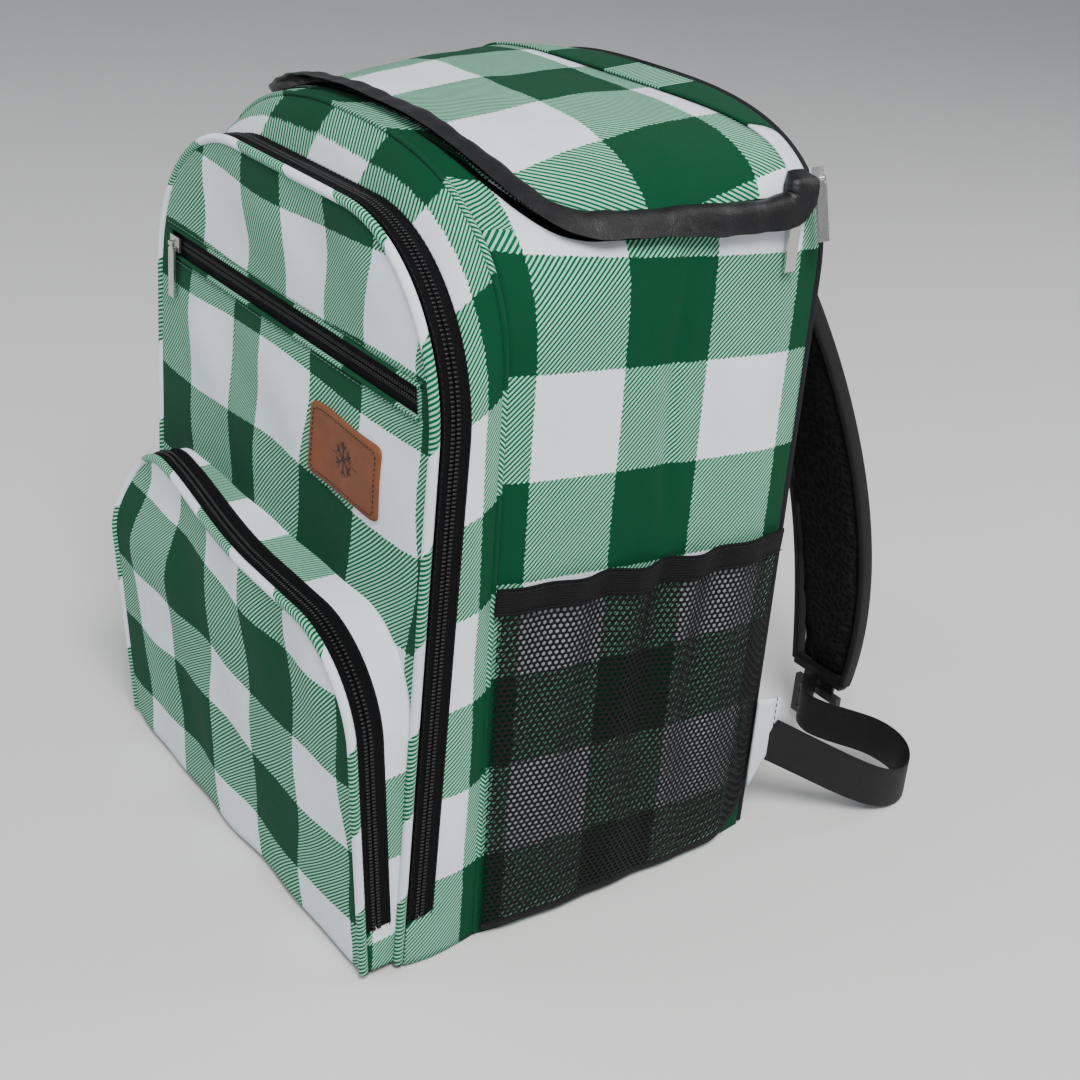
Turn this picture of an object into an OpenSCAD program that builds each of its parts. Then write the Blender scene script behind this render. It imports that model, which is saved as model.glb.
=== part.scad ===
// Insulated cooler backpack: main compartment with a zipped lid, front compartment
// with a drop-down door, lower front pocket, mesh side pockets and shoulder straps.
// Row frame: X across, -Y front, +Z up, origin in the middle of the main base.

/* [Main compartment] */
// Width of the bag
body_w = 280; // [240:1:340]
// Depth of the main compartment
body_d = 180; // [150:1:220]
// Height of the main compartment
body_h = 396; // [385:1:470]
// Radius of the rounded top corners
corner_r = 32; // [24:1:33]
// Thickness of the woven shell
shell_t = 1.6; // [1.3:0.1:2.5]
// Thickness of the foam sheets
foam_t = 6; // [3:0.5:9]
// Thickness of the welded liner
liner_t = 1; // [0.6:0.1:2]
// Thickness of the stiffening board in the base
board_t = 2.5; // [1.5:0.5:4]

/* [Lid and its zip] */
// Height of the lid zip above the base
zip_z = 363; // [345:1:363]
// Distance from the front seam back to the lid zip
lid_front_gap = 15; // [14:1:25]
// Rounding of the zip line where it turns from the front to the side
lid_corner_r = 32; // [20:1:50]
// Depth of the fixed strip behind the lid
back_strip_d = 24; // [22:1:45]
// Width of one zip tape
tape_w = 6; // [5:0.5:8]
// Thickness of a zip tape
tape_t = 1.2; // [0.8:0.1:1.5]
// Width of one row of zip teeth
teeth_w = 2.9; // [2:0.1:4]
// How far the teeth stand out of the tape
teeth_t = 0.8; // [0.5:0.1:1]
// Clearance under the rain guard
guard_gap = 5.8; // [5.8:0.1:8]
// Thickness of the rain guard
guard_t = 1.2; // [0.8:0.1:2]
// Reach of the rain guard below the zip
guard_drop = 8; // [6:0.5:11]

/* [Front compartment] */
// Depth of the front compartment at the base
front_d = 47; // [42:1:70]
// Backward lean of the door
door_lean = 2.1; // [0:0.1:3]
// Height of the door
door_h = 366; // [350:1:370]
// Top corner radius of the door
door_r = 86; // [60:1:100]
// Thickness of the door panel
door_t = 3; // [2:0.5:5]
// Radius of the piping
piping_r = 2.4; // [1.5:0.1:2.4]
// Height of the slit pocket zip on the door
slit_z = 297; // [280:1:300]
// Height of the slot that shows the slit zip
slit_w = 14; // [12:1:18]
// Width of the patch
patch_w = 66; // [40:1:90]
// Height of the patch
patch_h = 37; // [25:1:44]

/* [Lower pocket] */
// Height of the lower pocket
pocket_h = 187; // [150:1:210]
// Top corner radius of the lower pocket
pocket_r = 50; // [35:1:70]
// Depth of the lower pocket at the base
pocket_d = 18; // [16:1:30]
// Forward lean of the pocket flap
flap_lean = 5.5; // [2:0.5:7]
// Thickness of the pocket flap
flap_t = 2.5; // [1.5:0.5:2.5]

/* [Side pockets] */
// Height of the mesh side pockets
mesh_h = 200; // [150:1:230]
// How far the mesh bulges out
mesh_bulge = 10; // [8:1:16]
// Thickness of the mesh
mesh_t = 0.8; // [0.6:0.1:1.2]
// Height of the elastic band
elastic_h = 14; // [10:1:20]

/* [Straps] */
// Thickness of the padded back panel
back_pad_t = 8; // [5:1:14]
// Width of a shoulder pad
strap_w = 62; // [50:1:70]
// Thickness of a shoulder pad
strap_t = 10; // [7:1:14]
// How far the lower ends of the shoulder pads stand off the back
strap_out = 105; // [85:1:110]
// Width of the webbing
web_w = 25; // [20:1:25]
// Thickness of the webbing
web_t = 1.6; // [1.2:0.1:2]

/* [Zip sliders] */
// Length of a slider along its zip
slider_len = 11; // [9:0.5:12]
// Width of a slider across its zip
slider_wid = 8; // [7:0.5:9]
// Length of a puller from its pivot to its tip
puller_len = 29; // [22:1:30]
// Width of a puller
puller_wid = 6.5; // [5:0.5:7]
// Radial clearance of a puller on its pivot
pivot_fit = 0.08; // [0.05:0.01:0.1]

/* [Hidden] */
$fn = 64;
gap = 0.3;                      // running gap between loose pieces
hw = body_w / 2;
y_front = -body_d / 2;
y_back = body_d / 2;
lid_front_y = y_front + lid_front_gap;
lid_back_y = y_back - back_strip_d;
foam_in = shell_t + foam_t;
liner_in = foam_in + liner_t;
rim_z = zip_z - tape_w;         // top edge of the side panels
inner_z = foam_in + board_t;    // top of the base board's foam
wide = 2 * (hw + 60);
tall = body_h + 40;
edge_z = 4;                     // lowest edge of the door and flap
zip_end_z = 30;                 // height where the door and pocket zips stop
door_chain = 10;                // door zip line behind the door face
flap_hw = hw - 2;
flap_chain = 8;                 // pocket zip line behind the flap face
door_y = y_front - front_d;
slot_hw = hw - 12;
plate_t = 1.2;                  // base plate of a slider
slider_lift = teeth_t + gap;    // slider above the tape
bar_r = 0.6;
barrel_r = 1.15;
bar_u = plate_t + barrel_r + gap;
ear_x = 2.4;                    // middle of each ear from the slider's centre
ear_t = 0.8;
tab_t = 1.4;
stud_r = 1.2;
eye_r = 2.7;
guard_end_y = lid_back_y - 10;
lid_slider_y = lid_back_y - 2;
rear_slider_y = lid_back_y + 12;
rear_tilt = 20;                 // angle of the top corner under the rear slider
rear_hang = 5;                  // how far the rear puller tips in towards the side
slit_x = -slot_hw + 10;
door_slider_z = 105;
pocket_slider_z = 52;
patch_x = 69;
patch_z = 248;
pad_y = y_back + back_pad_t;
mesh_len = body_d - 4;
mesh_r = mesh_len * mesh_len / (8 * mesh_bulge) + mesh_bulge / 2;
strap_top_z = 335;
strap_low_z = 45;
strap_x0 = 66;                  // shoulder pad centre at the top
strap_x1 = 88;                  // shoulder pad centre at the bottom
strap_low_y = y_back + strap_out;
web_y = y_back + 7;             // start of the slack webbing
web_z = 72;
web_tilt = 24;                  // droop of the slack webbing
lock_w = web_w + 11;
lock_t = 4;
lock_h = 26;
lock_z = 8;

// ---- shared outlines ----

// Arched front outline, half-width w, with its flat base at b
module arch(w, h, r, b = 0) {
    translate([-w, b]) square([2 * w, h - r - b]);
    translate([-(w - r), h - r - 0.01]) square([2 * (w - r), r + 0.01]);
    for (s = [-1, 1]) translate([s * (w - r), h - r]) circle(r);
}
// Arched strip of thickness t inside the outline, moved outwards by o, open at the base
module arch_strip(w, h, r, t, o = 0) {
    difference() {
        arch(w + o, h + o, r + o);
        translate([0, -1]) arch(w + o - t, h + o - t + 1, r + o - t);
    }
}
// Front outline given depth from y0 to y1
module slab(y0, y1) { translate([0, y1, 0]) rotate([90, 0, 0]) linear_extrude(y1 - y0) children(); }
// Side outline (depth, height) stretched across the bag
module across() { translate([-wide / 2, 0, 0]) rotate([90, 0, 90]) linear_extrude(wide) children(); }
module both_sides(side) { if (side > 0) children(); else mirror([1, 0, 0]) children(); }

// Main compartment outline moved inwards by i
module body_arch(i) { arch(hw - i, body_h - i, corner_r - i, i); }
module body_layer(i0, i1) {
    slab(y_front + i0, y_back - i0) difference() {
        body_arch(i0);
        body_arch(i1);
    }
}
// Side outline of all that lies above the zip line moved up by c
module above_zip(c, back = lid_back_y) {
    y0 = lid_front_y + c;
    z0 = zip_z + c;
    r = lid_corner_r - c;
    translate([y0 + r, z0]) square([back - y0 - r, 120]);
    translate([y0, z0 + r]) square([back - y0, 120 - r]);
    translate([y0 + r, z0 + r]) circle(r);
}
module zip_band(c0, c1, back = lid_back_y) {
    across() difference() {
        above_zip(c0, back);
        above_zip(c1, back + 1);
    }
}
module in_door() { translate([0, door_y, 0]) rotate([-door_lean, 0, 0]) children(); }
module in_flap() { in_door() translate([0, -pocket_d, 0]) rotate([flap_lean, 0, 0]) children(); }
// Space behind the plane at depth y and above z
module behind(y, z = -20) { translate([-wide / 2, y, z]) cube([wide, 200, tall]); }
module before(y, z = -20) { translate([-wide / 2, y - 200, z]) cube([wide, 200, tall]); }

// ---- main compartment ----

module side_panel(side) {
    color("seagreen") both_sides(side) intersection() {
        slab(y_front + shell_t, y_back - shell_t) arch_strip(hw, body_h, corner_r, shell_t);
        translate([hw - corner_r, y_front, shell_t]) cube([corner_r + 5, body_d, rim_z - shell_t]);
    }
}
module front_wall() { color("seagreen") slab(y_front, y_front + shell_t) body_arch(0); }
module back_wall() { color("dimgray") slab(y_back - shell_t, y_back) body_arch(0); }
module base_panel() {
    color("seagreen") translate([-hw, y_front + shell_t, 0])
        cube([body_w, body_d - 2 * shell_t, shell_t]);
}
module top_front_strip() {
    color("white") intersection() {
        body_layer(0, shell_t);
        across() difference() {
            translate([y_front + shell_t, rim_z])
                square([lid_front_gap - shell_t + lid_corner_r, 120]);
            above_zip(-tape_w);
        }
    }
}
module top_back_strip() {
    color("seagreen") intersection() {
        body_layer(0, shell_t);
        translate([-hw - 5, lid_back_y + gap, rim_z])
            cube([body_w + 10, back_strip_d - shell_t - gap, 120]);
    }
}
module foam_side(side) {
    color("gainsboro") both_sides(side) intersection() {
        body_layer(shell_t, foam_in);
        translate([hw - corner_r, y_front + foam_in, inner_z])
            cube([corner_r, body_d - 2 * foam_in, rim_z - inner_z - 2]);
    }
}
module foam_sheet() { arch(hw - shell_t, body_h - shell_t, corner_r - shell_t, inner_z); }
module foam_front() {
    color("gainsboro") slab(y_front + shell_t, y_front + foam_in) foam_sheet();
}
module foam_back() {
    color("gainsboro") slab(y_back - foam_in, y_back - shell_t) foam_sheet();
}
module base_sheet(z, t) {
    translate([-hw + shell_t, y_front + shell_t, z])
        cube([body_w - 2 * shell_t, body_d - 2 * shell_t, t]);
}
module base_board() { color("dimgray") base_sheet(shell_t, board_t); }
module foam_base() { color("gainsboro") base_sheet(shell_t + board_t, foam_t); }
module liner() {
    color("silver") difference() {
        slab(y_front + foam_in, y_back - foam_in) intersection() {
            arch(hw - foam_in, body_h - foam_in, corner_r - foam_in, inner_z);
            translate([-hw, 0]) square([body_w, rim_z - 2]);
        }
        slab(y_front + liner_in, y_back - liner_in)
            arch(hw - liner_in, body_h - liner_in, corner_r - liner_in, inner_z + liner_t);
    }
}
module zip_lid_lower() {
    color("black") intersection() {
        body_layer(0, tape_t);
        zip_band(-tape_w, -gap);
    }
    color("black") intersection() {
        slab(y_front, y_back) arch_strip(hw, body_h, corner_r, teeth_t, teeth_t);
        zip_band(-teeth_w, -gap);
    }
}

// ---- front compartment, fixed side ----

module front_gusset() {
    color("seagreen") difference() {
        slab(door_y - 5, y_front) difference() {
            arch(hw, door_h, door_r);
            arch(hw - shell_t, door_h - shell_t, door_r - shell_t, shell_t);
        }
        in_door() before(door_chain + tape_w + 0.01, zip_end_z);
        in_door() before(door_t + gap);
    }
}
module hinge_strip() {
    color("black") translate([-hw + 3, door_y + 4, shell_t])
        cube([body_w - 6, 12, edge_z - shell_t - gap]);
}
module zip_door_inner() {
    color("black") in_door() zip_strip(hw, door_h, door_r, door_chain + gap,
        door_chain + tape_w, door_chain + gap, door_chain + teeth_w);
}
// Tape from depth a0 to a1 with its teeth from b0 to b1
module zip_strip(w, h, r, a0, a1, b0, b1) {
    intersection() {
        union() {
            slab(a0, a1) arch_strip(w, h, r, tape_t);
            slab(b0, b1) arch_strip(w, h, r, teeth_t, teeth_t);
        }
        behind(-5, zip_end_z);
    }
}

// ---- back and straps ----

module back_pad() {
    color("black") slab(y_back, pad_y) arch(hw - 5, body_h - 5, corner_r - 5, 6);
}
module back_piping() {
    color("black") slab(y_back, y_back + 3) difference() {
        arch(hw, body_h, corner_r, 1);
        arch(hw - 4.7, body_h - 4.7, corner_r - 4.7, 5.7);
    }
}
// Centre and radius of the circle through three points
function circle3(a, b, c) =
    let (d = 2 * (a[0] * (b[1] - c[1]) + b[0] * (c[1] - a[1]) + c[0] * (a[1] - b[1])),
        aa = a * a, bb = b * b, cc = c * c,
        u = (aa * (b[1] - c[1]) + bb * (c[1] - a[1]) + cc * (a[1] - b[1])) / d,
        v = (aa * (c[0] - b[0]) + bb * (a[0] - c[0]) + cc * (b[0] - a[0])) / d)
    [u, v, norm([u, v] - a)];
strap_arc = circle3([pad_y + strap_t / 2 + gap, strap_top_z],
    [y_back + strap_out * 0.83, 195], [strap_low_y, strap_low_z]);
function pad_z(t) = strap_top_z + (strap_low_z - strap_top_z) * t;
function pad_x(t, s) = strap_x0 + (strap_x1 - strap_x0) * (1 - cos(180 * t)) / 2
    + s * strap_w / 2 * (1 - 0.3 * pow(t, 6));
module strap_pad(side) {
    steps = 14;
    color("black") both_sides(side) intersection() {
        rotate([90, 0, 90]) linear_extrude(hw)
            translate([strap_arc[0], strap_arc[1]]) difference() {
                circle(strap_arc[2] + strap_t / 2);
                circle(strap_arc[2] - strap_t / 2);
            }
        slab(pad_y + gap, strap_low_y + 60) polygon([
            for (k = [0 : steps]) [pad_x(k / steps, 1), pad_z(k / steps)],
            for (k = [steps : -1 : 0]) [pad_x(k / steps, -1), pad_z(k / steps)]]);
    }
}
module strap_yoke() {
    color("black") translate([-strap_x0 - strap_w / 2, pad_y, strap_top_z + gap])
        cube([2 * strap_x0 + strap_w, strap_t + gap, 16]);
}
module haul_handle() {
    r = 60;
    reach = 30;
    color("black") intersection() {
        translate([0, pad_y + reach - r, strap_top_z + 18]) difference() {
            cylinder(h = web_w, r = r);
            translate([0, 0, -1]) cylinder(h = web_w + 2, r = r - 3);
        }
        translate([-hw, pad_y, 0]) cube([body_w, reach + 5, tall]);
    }
}
// Two edges of a strip of thickness t along a plan route
function heading(p, i) =
    let (d = p[min(i + 1, len(p) - 1)] - p[max(i - 1, 0)]) d / norm(d);
function edge(p, i, o) = p[i] + o * [-heading(p, i)[1], heading(p, i)[0]];
module ribbon(p, t) {
    n = len(p) - 1;
    polygon([for (i = [0 : n]) edge(p, i, t / 2), for (i = [n : -1 : 0]) edge(p, i, -t / 2)]);
}
// Plan of the slack webbing: out from the corner tab, round and back to the ladder lock
web_x = hw + 2 + web_t / 2;
web_turn = [web_x - 8, 118];
web_route = [[web_x, 0], [web_x, 8], [web_x + 3, 26], [web_x + 8, 52],
    [web_x + 12, 80], [web_x + 12, 102],
    for (a = [10 : 17 : 146]) web_turn + 19 * [cos(a), sin(a)],
    [strap_x1 + lock_w / 2 + 9, 118], [strap_x1 + lock_w / 2 + 1, 111]];
module webbing(side) {
    color("black") both_sides(side) {
        translate([0, web_y, web_z]) rotate([-web_tilt, 0, 0]) translate([0, 0, -web_w / 2])
            linear_extrude(web_w) ribbon(web_route, web_t);
    }
}
module ladder_lock(side) {
    slot_h = 5;
    color("black") both_sides(side) translate([strap_x1, strap_low_y, lock_z]) {
        difference() {
            translate([-lock_w / 2, -lock_t / 2, 0]) cube([lock_w, lock_t, lock_h]);
            for (z = [4, 15]) translate([-web_w / 2 - 1, -lock_t, z])
                cube([web_w + 2, 2 * lock_t, slot_h + 1]);
        }
        translate([-web_w / 2, -web_t / 2, lock_h]) cube([web_w, web_t, strap_low_z - lock_z - lock_h]);
    }
}
module corner_tab(side) {
    color("white") both_sides(side) translate([hw, 0, 0]) rotate([90, 0, 90]) linear_extrude(2)
        polygon([[y_back - 1.5, 30], [y_back + 15, 58], [y_back + 15, 84], [y_back - 1.5, 88]]);
}

// ---- side pockets ----

module bulge_wall(z0, z1, t) {
    translate([hw + mesh_bulge - mesh_r, 0, z0]) difference() {
        cylinder(h = z1 - z0, r = mesh_r + t);
        translate([0, 0, -1]) cylinder(h = z1 - z0 + 2, r = mesh_r);
    }
}
module mesh_pocket(side) {
    floor_z = 2;
    color("darkslategray") both_sides(side) intersection() {
        union() {
            bulge_wall(floor_z, mesh_h - elastic_h, mesh_t);
            translate([hw + mesh_bulge - mesh_r, 0, floor_z]) cylinder(h = mesh_t, r = mesh_r + mesh_t);
        }
        translate([hw, -mesh_len / 2, 0]) cube([50, mesh_len, tall]);
    }
}
module elastic(side) {
    color("black") both_sides(side) intersection() {
        bulge_wall(mesh_h - elastic_h, mesh_h, 2 * mesh_t);
        translate([hw, -mesh_len / 2, 0]) cube([50, mesh_len, tall]);
    }
}

// ---- zip sliders: pivot along X, puller towards -Y, outwards +Z ----

module slider(along) {
    size = along ? [slider_len, slider_wid] : [slider_wid, slider_len];
    translate([-size[0] / 2, -size[1] / 2, 0]) cube([size[0], size[1], plate_t]);
    for (s = [-1, 1]) translate([s * ear_x - ear_t / 2, -1.3, plate_t])
        cube([ear_t, 2.6, bar_u + 1 - plate_t]);
    translate([-ear_x, 0, bar_u]) rotate([0, 90, 0]) cylinder(h = 2 * ear_x, r = bar_r);
}
module puller() {
    len = 2 * ear_x - ear_t - 2 * gap;
    translate([0, 0, bar_u]) difference() {
        union() {
            translate([-len / 2, 0, 0]) rotate([0, 90, 0]) cylinder(h = len, r = barrel_r);
            translate([-len / 2, -3, -tab_t / 2]) cube([len, 3, tab_t]);
            translate([-puller_wid / 2, -puller_len, -tab_t / 2])
                cube([puller_wid, puller_len - 2.4, tab_t]);
        }
        translate([-ear_x, 0, 0]) rotate([0, 90, 0]) cylinder(h = 2 * ear_x, r = bar_r + pivot_fit);
    }
}
// Slider with an upright stud, for a puller that swivels flat under the rain guard
module stud_slider() {
    translate([-slider_len / 2, -slider_wid / 2, 0]) cube([slider_len, slider_wid, plate_t]);
    cylinder(h = plate_t + 2 * gap + tab_t + 0.6, r = stud_r);
    translate([0, 0, plate_t + 2 * gap + tab_t]) cylinder(h = 0.6, r = stud_r + 0.8);
}
module stud_puller() {
    translate([0, 0, plate_t + gap]) difference() {
        union() {
            cylinder(h = tab_t, r = eye_r);
            translate([-puller_wid / 2, -puller_len, 0]) cube([puller_wid, puller_len - 1.5, tab_t]);
        }
        translate([0, 0, -1]) cylinder(h = tab_t + 2, r = stud_r + pivot_fit);
    }
}
// Places for the sliders
module on_right(y, z) { translate([hw + slider_lift, y, z]) rotate([90, 0, 90]) children(); }
module on_rear() {
    translate([hw - corner_r, rear_slider_y, body_h - corner_r]) rotate([0, -rear_tilt, 0])
        translate([corner_r + slider_lift, 0, 0]) rotate([90, 0, 90]) children();
}
module on_left(w, y, z) { translate([-w - slider_lift, y, z]) rotate([90, 0, -90]) children(); }
module on_slit() {
    in_door() translate([slit_x, -gap, slit_z]) rotate([90, 0, 0]) children();
}
module silver() { color("silver") children(); }

module lid_slider() { silver() on_right(lid_slider_y, zip_z) stud_slider(); }
module lid_puller() { silver() on_right(lid_slider_y, zip_z) stud_puller(); }
module rear_slider() { silver() on_rear() slider(false); }
module rear_puller() {
    silver() on_rear() translate([0, 0, bar_u]) rotate([rear_hang, 0, 0])
        translate([0, 0, -bar_u]) puller();
}
module slit_slider() { silver() on_slit() slider(true); }
module slit_puller() { silver() on_slit() puller(); }
module door_slider() { silver() in_door() on_left(hw, door_chain, door_slider_z) slider(false); }
module door_puller() { silver() in_door() on_left(hw, door_chain, door_slider_z) puller(); }
module pocket_slider() {
    silver() in_flap() on_left(flap_hw, flap_chain, pocket_slider_z) slider(false);
}
module pocket_puller() {
    silver() in_flap() on_left(flap_hw, flap_chain, pocket_slider_z) puller();
}

// ---- lid ----

module lid_layer(i0, i1, c) {
    intersection() {
        slab(y_front + 1, y_back - 1) difference() {
            body_arch(i0);
            body_arch(i1);
        }
        across() above_zip(c);
    }
}
module lid_shell() { color("seagreen") lid_layer(0, shell_t, tape_w); }
module lid_foam() { color("gainsboro") lid_layer(shell_t, foam_in, tape_w + 4); }
module lid_liner() { color("silver") lid_layer(foam_in, liner_in, tape_w + 4); }
module zip_lid_upper() {
    color("black") lid_layer_band(tape_t, 0, gap, tape_w);
    color("black") lid_layer_band(teeth_t, teeth_t, gap, teeth_w);
}
module lid_layer_band(t, o, c0, c1) {
    intersection() {
        slab(y_front + 1, y_back - 1) arch_strip(hw, body_h, corner_r, t, o);
        zip_band(c0, c1);
    }
}
module lid_guard() {
    top = guard_gap + guard_t;
    color("black") intersection() {
        slab(y_front, guard_end_y) arch_strip(hw, body_h, corner_r, top, top);
        union() {
            zip_band(tape_w - 1, tape_w);
            intersection() {
                zip_band(-guard_drop, tape_w);
                slab(y_front, y_back) arch_strip(hw, body_h, corner_r, guard_t, top);
            }
        }
    }
}

// ---- door ----

module door_panel() {
    inset = 2 * piping_r + 0.1;
    color("seagreen") in_door() difference() {
        slab(0, door_t) arch(hw - inset, door_h - inset, door_r - inset, edge_z);
        translate([-slot_hw, -1, slit_z - slit_w / 2]) cube([2 * slot_hw, door_t + 2, slit_w]);
    }
}
// Rod along an arched outline, its outer edge on the outline
module piping(w, h, r) {
    c = r - piping_r;
    for (s = [-1, 1]) {
        translate([s * (w - piping_r), 0, edge_z]) cylinder(h = h - r - edge_z, r = piping_r);
        translate([s * (w - r), 0, h - r]) rotate([90, s > 0 ? 0 : -90, 0])
            rotate_extrude(angle = 90) translate([c, 0]) circle(piping_r);
    }
    translate([-(w - r), 0, h - piping_r]) rotate([0, 90, 0]) cylinder(h = 2 * (w - r), r = piping_r);
}
module door_piping() { color("seagreen") in_door() piping(hw, door_h, door_r); }
module zip_door_outer() {
    color("black") in_door() zip_strip(hw, door_h, door_r, piping_r + 0.2, door_chain - gap,
        door_chain - teeth_w, door_chain - gap);
}
module slit_zip() {
    color("black") in_door() {
        translate([-slot_hw, 1.2, slit_z - slit_w / 2]) cube([2 * slot_hw, tape_t, slit_w]);
        translate([-slot_hw + 3, gap, slit_z - teeth_w])
            cube([2 * slot_hw - 6, 1.2 - gap, 2 * teeth_w]);
    }
}
module slit_pouch() {
    drop = 110;
    color("dimgray") in_door() translate([-slot_hw - 4, door_t, slit_z + slit_w / 2 + 4 - drop])
        cube([2 * slot_hw + 8, shell_t, drop]);
}
module patch() {
    r = 4;
    color("sienna") in_door() translate([patch_x, 0, patch_z]) slab(-1.6, 0) {
        square([patch_w - 2 * r, patch_h], center = true);
        square([patch_w, patch_h - 2 * r], center = true);
        for (x = [-1, 1], z = [-1, 1])
            translate([x * (patch_w / 2 - r), z * (patch_h / 2 - r)]) circle(r);
    }
}
module pocket_gusset() {
    inset = 2 * piping_r + 0.1;
    color("seagreen") difference() {
        in_door() slab(-pocket_d - 40, 0) difference() {
            arch(flap_hw, pocket_h, pocket_r, edge_z);
            arch(flap_hw - shell_t, pocket_h - shell_t, pocket_r - shell_t, edge_z + shell_t);
        }
        in_flap() before(flap_chain + tape_w + 0.01, zip_end_z);
        in_flap() before(flap_t + gap);
        in_door() slab(-piping_r - gap, 1) difference() {
            translate([-wide / 2, 0]) square([wide, tall]);
            arch(hw - inset, door_h - inset, door_r - inset);
        }
    }
}
module zip_pocket_inner() {
    color("black") in_flap() zip_strip(flap_hw, pocket_h, pocket_r, flap_chain + gap,
        flap_chain + tape_w, flap_chain + gap, flap_chain + teeth_w);
}

// ---- flap of the lower pocket ----

module flap_panel() {
    inset = 2 * piping_r + 0.1;
    color("seagreen") in_flap()
        slab(0, flap_t) arch(flap_hw - inset, pocket_h - inset, pocket_r - inset, edge_z);
}
module flap_piping() { color("seagreen") in_flap() piping(flap_hw, pocket_h, pocket_r); }
module zip_pocket_outer() {
    color("black") in_flap() zip_strip(flap_hw, pocket_h, pocket_r, piping_r + 0.2,
        flap_chain - gap, flap_chain - teeth_w, flap_chain - gap);
}

side_panel(1);  // side_panel_right
side_panel(-1);  // side_panel_left
front_wall();
back_wall();
base_panel();
top_front_strip();
top_back_strip();
foam_side(1);  // foam_side_right
foam_side(-1);  // foam_side_left
foam_front();
foam_back();
foam_base();
base_board();
liner();
zip_lid_lower();
back_pad();
back_piping();
front_gusset();
hinge_strip();
zip_door_inner();
mesh_pocket(1);  // mesh_pocket_right
mesh_pocket(-1);  // mesh_pocket_left
elastic(1);  // elastic_right
elastic(-1);  // elastic_left
strap_pad(1);  // strap_pad_right
strap_pad(-1);  // strap_pad_left
webbing(1);  // webbing_right
webbing(-1);  // webbing_left
ladder_lock(1);  // ladder_lock_right
ladder_lock(-1);  // ladder_lock_left
corner_tab(1);  // corner_tab_right
corner_tab(-1);  // corner_tab_left
strap_yoke();
haul_handle();
rear_slider();
rear_puller();
lid_shell();
lid_foam();
lid_liner();
lid_guard();
zip_lid_upper();
lid_slider();
lid_puller();
door_panel();
door_piping();
zip_door_outer();
slit_zip();
slit_pouch();
patch();
pocket_gusset();
zip_pocket_inner();
slit_slider();
slit_puller();
door_slider();
door_puller();
flap_panel();
flap_piping();
zip_pocket_outer();
pocket_slider();
pocket_puller();
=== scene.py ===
import bpy, bmesh
import numpy as np
from mathutils import Matrix, Vector


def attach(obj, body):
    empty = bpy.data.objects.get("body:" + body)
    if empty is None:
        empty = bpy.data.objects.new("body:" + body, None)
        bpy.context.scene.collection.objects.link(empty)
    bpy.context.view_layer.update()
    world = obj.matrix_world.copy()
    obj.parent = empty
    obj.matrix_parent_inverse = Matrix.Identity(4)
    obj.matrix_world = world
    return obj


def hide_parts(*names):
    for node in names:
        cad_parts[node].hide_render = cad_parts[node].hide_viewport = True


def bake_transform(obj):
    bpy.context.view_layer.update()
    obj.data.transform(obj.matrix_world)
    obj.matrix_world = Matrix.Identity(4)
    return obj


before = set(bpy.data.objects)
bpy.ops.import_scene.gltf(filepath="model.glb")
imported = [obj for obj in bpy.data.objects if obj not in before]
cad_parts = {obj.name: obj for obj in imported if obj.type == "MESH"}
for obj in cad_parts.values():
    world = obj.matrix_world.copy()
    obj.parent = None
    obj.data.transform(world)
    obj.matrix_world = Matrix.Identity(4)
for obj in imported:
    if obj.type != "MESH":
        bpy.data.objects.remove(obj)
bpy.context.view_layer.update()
MM = 0.001

# ---- Camera, floor and lights ----
# The camera stands to the right of the front and a little above the bag, turned
# slightly. A pale floor and large soft lamps make up the studio.
azimuth, height_angle, roll = np.radians([52.83, 27.15, 4.09])
back = np.array([np.sin(azimuth) * np.cos(height_angle),
                 -np.cos(azimuth) * np.cos(height_angle), np.sin(height_angle)])
level = np.array([np.cos(azimuth), np.sin(azimuth), 0])
upright = np.cross(back, level)
side_way = np.cos(roll) * level + np.sin(roll) * upright
up_way = -np.sin(roll) * level + np.cos(roll) * upright
stand = Matrix.Identity(4)
for row in range(3):
    stand[row][0], stand[row][1], stand[row][2] = side_way[row], up_way[row], back[row]
    stand[row][3] = (0.66854, -0.46849, 0.56372)[row]
camera_data = bpy.data.cameras.new("camera")
camera_data.lens, camera_data.sensor_width = 54.48, 36
camera = bpy.data.objects.new("camera", camera_data)
camera.matrix_world = stand
bpy.context.scene.collection.objects.link(camera)
bpy.context.scene.camera = camera


def lamp(name, place, size, power, tint=(1, 1, 1)):
    data = bpy.data.lights.new(name, "AREA")
    data.size, data.energy, data.color = size, power, tint
    made = bpy.data.objects.new(name, data)
    made.location = place
    aim = Vector((0, 0, 0.2)) - Vector(place)
    made.rotation_euler = aim.to_track_quat("-Z", "Y").to_euler()
    bpy.context.scene.collection.objects.link(made)


lamp("key", (1.1, -0.5, 1.7), 0.7, 44, (1, 0.98, 0.95))
lamp("fill", (-1.3, -1.5, 1.1), 1.4, 15, (0.94, 0.97, 1))
lamp("rim", (0.6, 1.6, 1.3), 1.2, 16)
world = bpy.data.worlds.new("studio")
bpy.context.scene.world = world
world.use_nodes = True
world.node_tree.nodes["Background"].inputs[0].default_value = (0.88, 0.91, 0.95, 1)
world.node_tree.nodes["Background"].inputs[1].default_value = 0.36


def finish_of(name, colour, rough, metal=0.0, sheen=0.0, coat=0.0, gloss=0.5):
    """A new material, its node tree and its shader, with the even numbers set."""
    made = bpy.data.materials.new(name)
    made.use_nodes = True
    tree = made.node_tree
    shader = tree.nodes["Principled BSDF"]
    shader.inputs["Base Color"].default_value = (*colour, 1)
    shader.inputs["Roughness"].default_value = rough
    shader.inputs["Metallic"].default_value = metal
    shader.inputs["Specular IOR Level"].default_value = gloss
    shader.inputs["Sheen Weight"].default_value = sheen
    shader.inputs["Coat Weight"].default_value = coat
    return made, tree, shader


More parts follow.
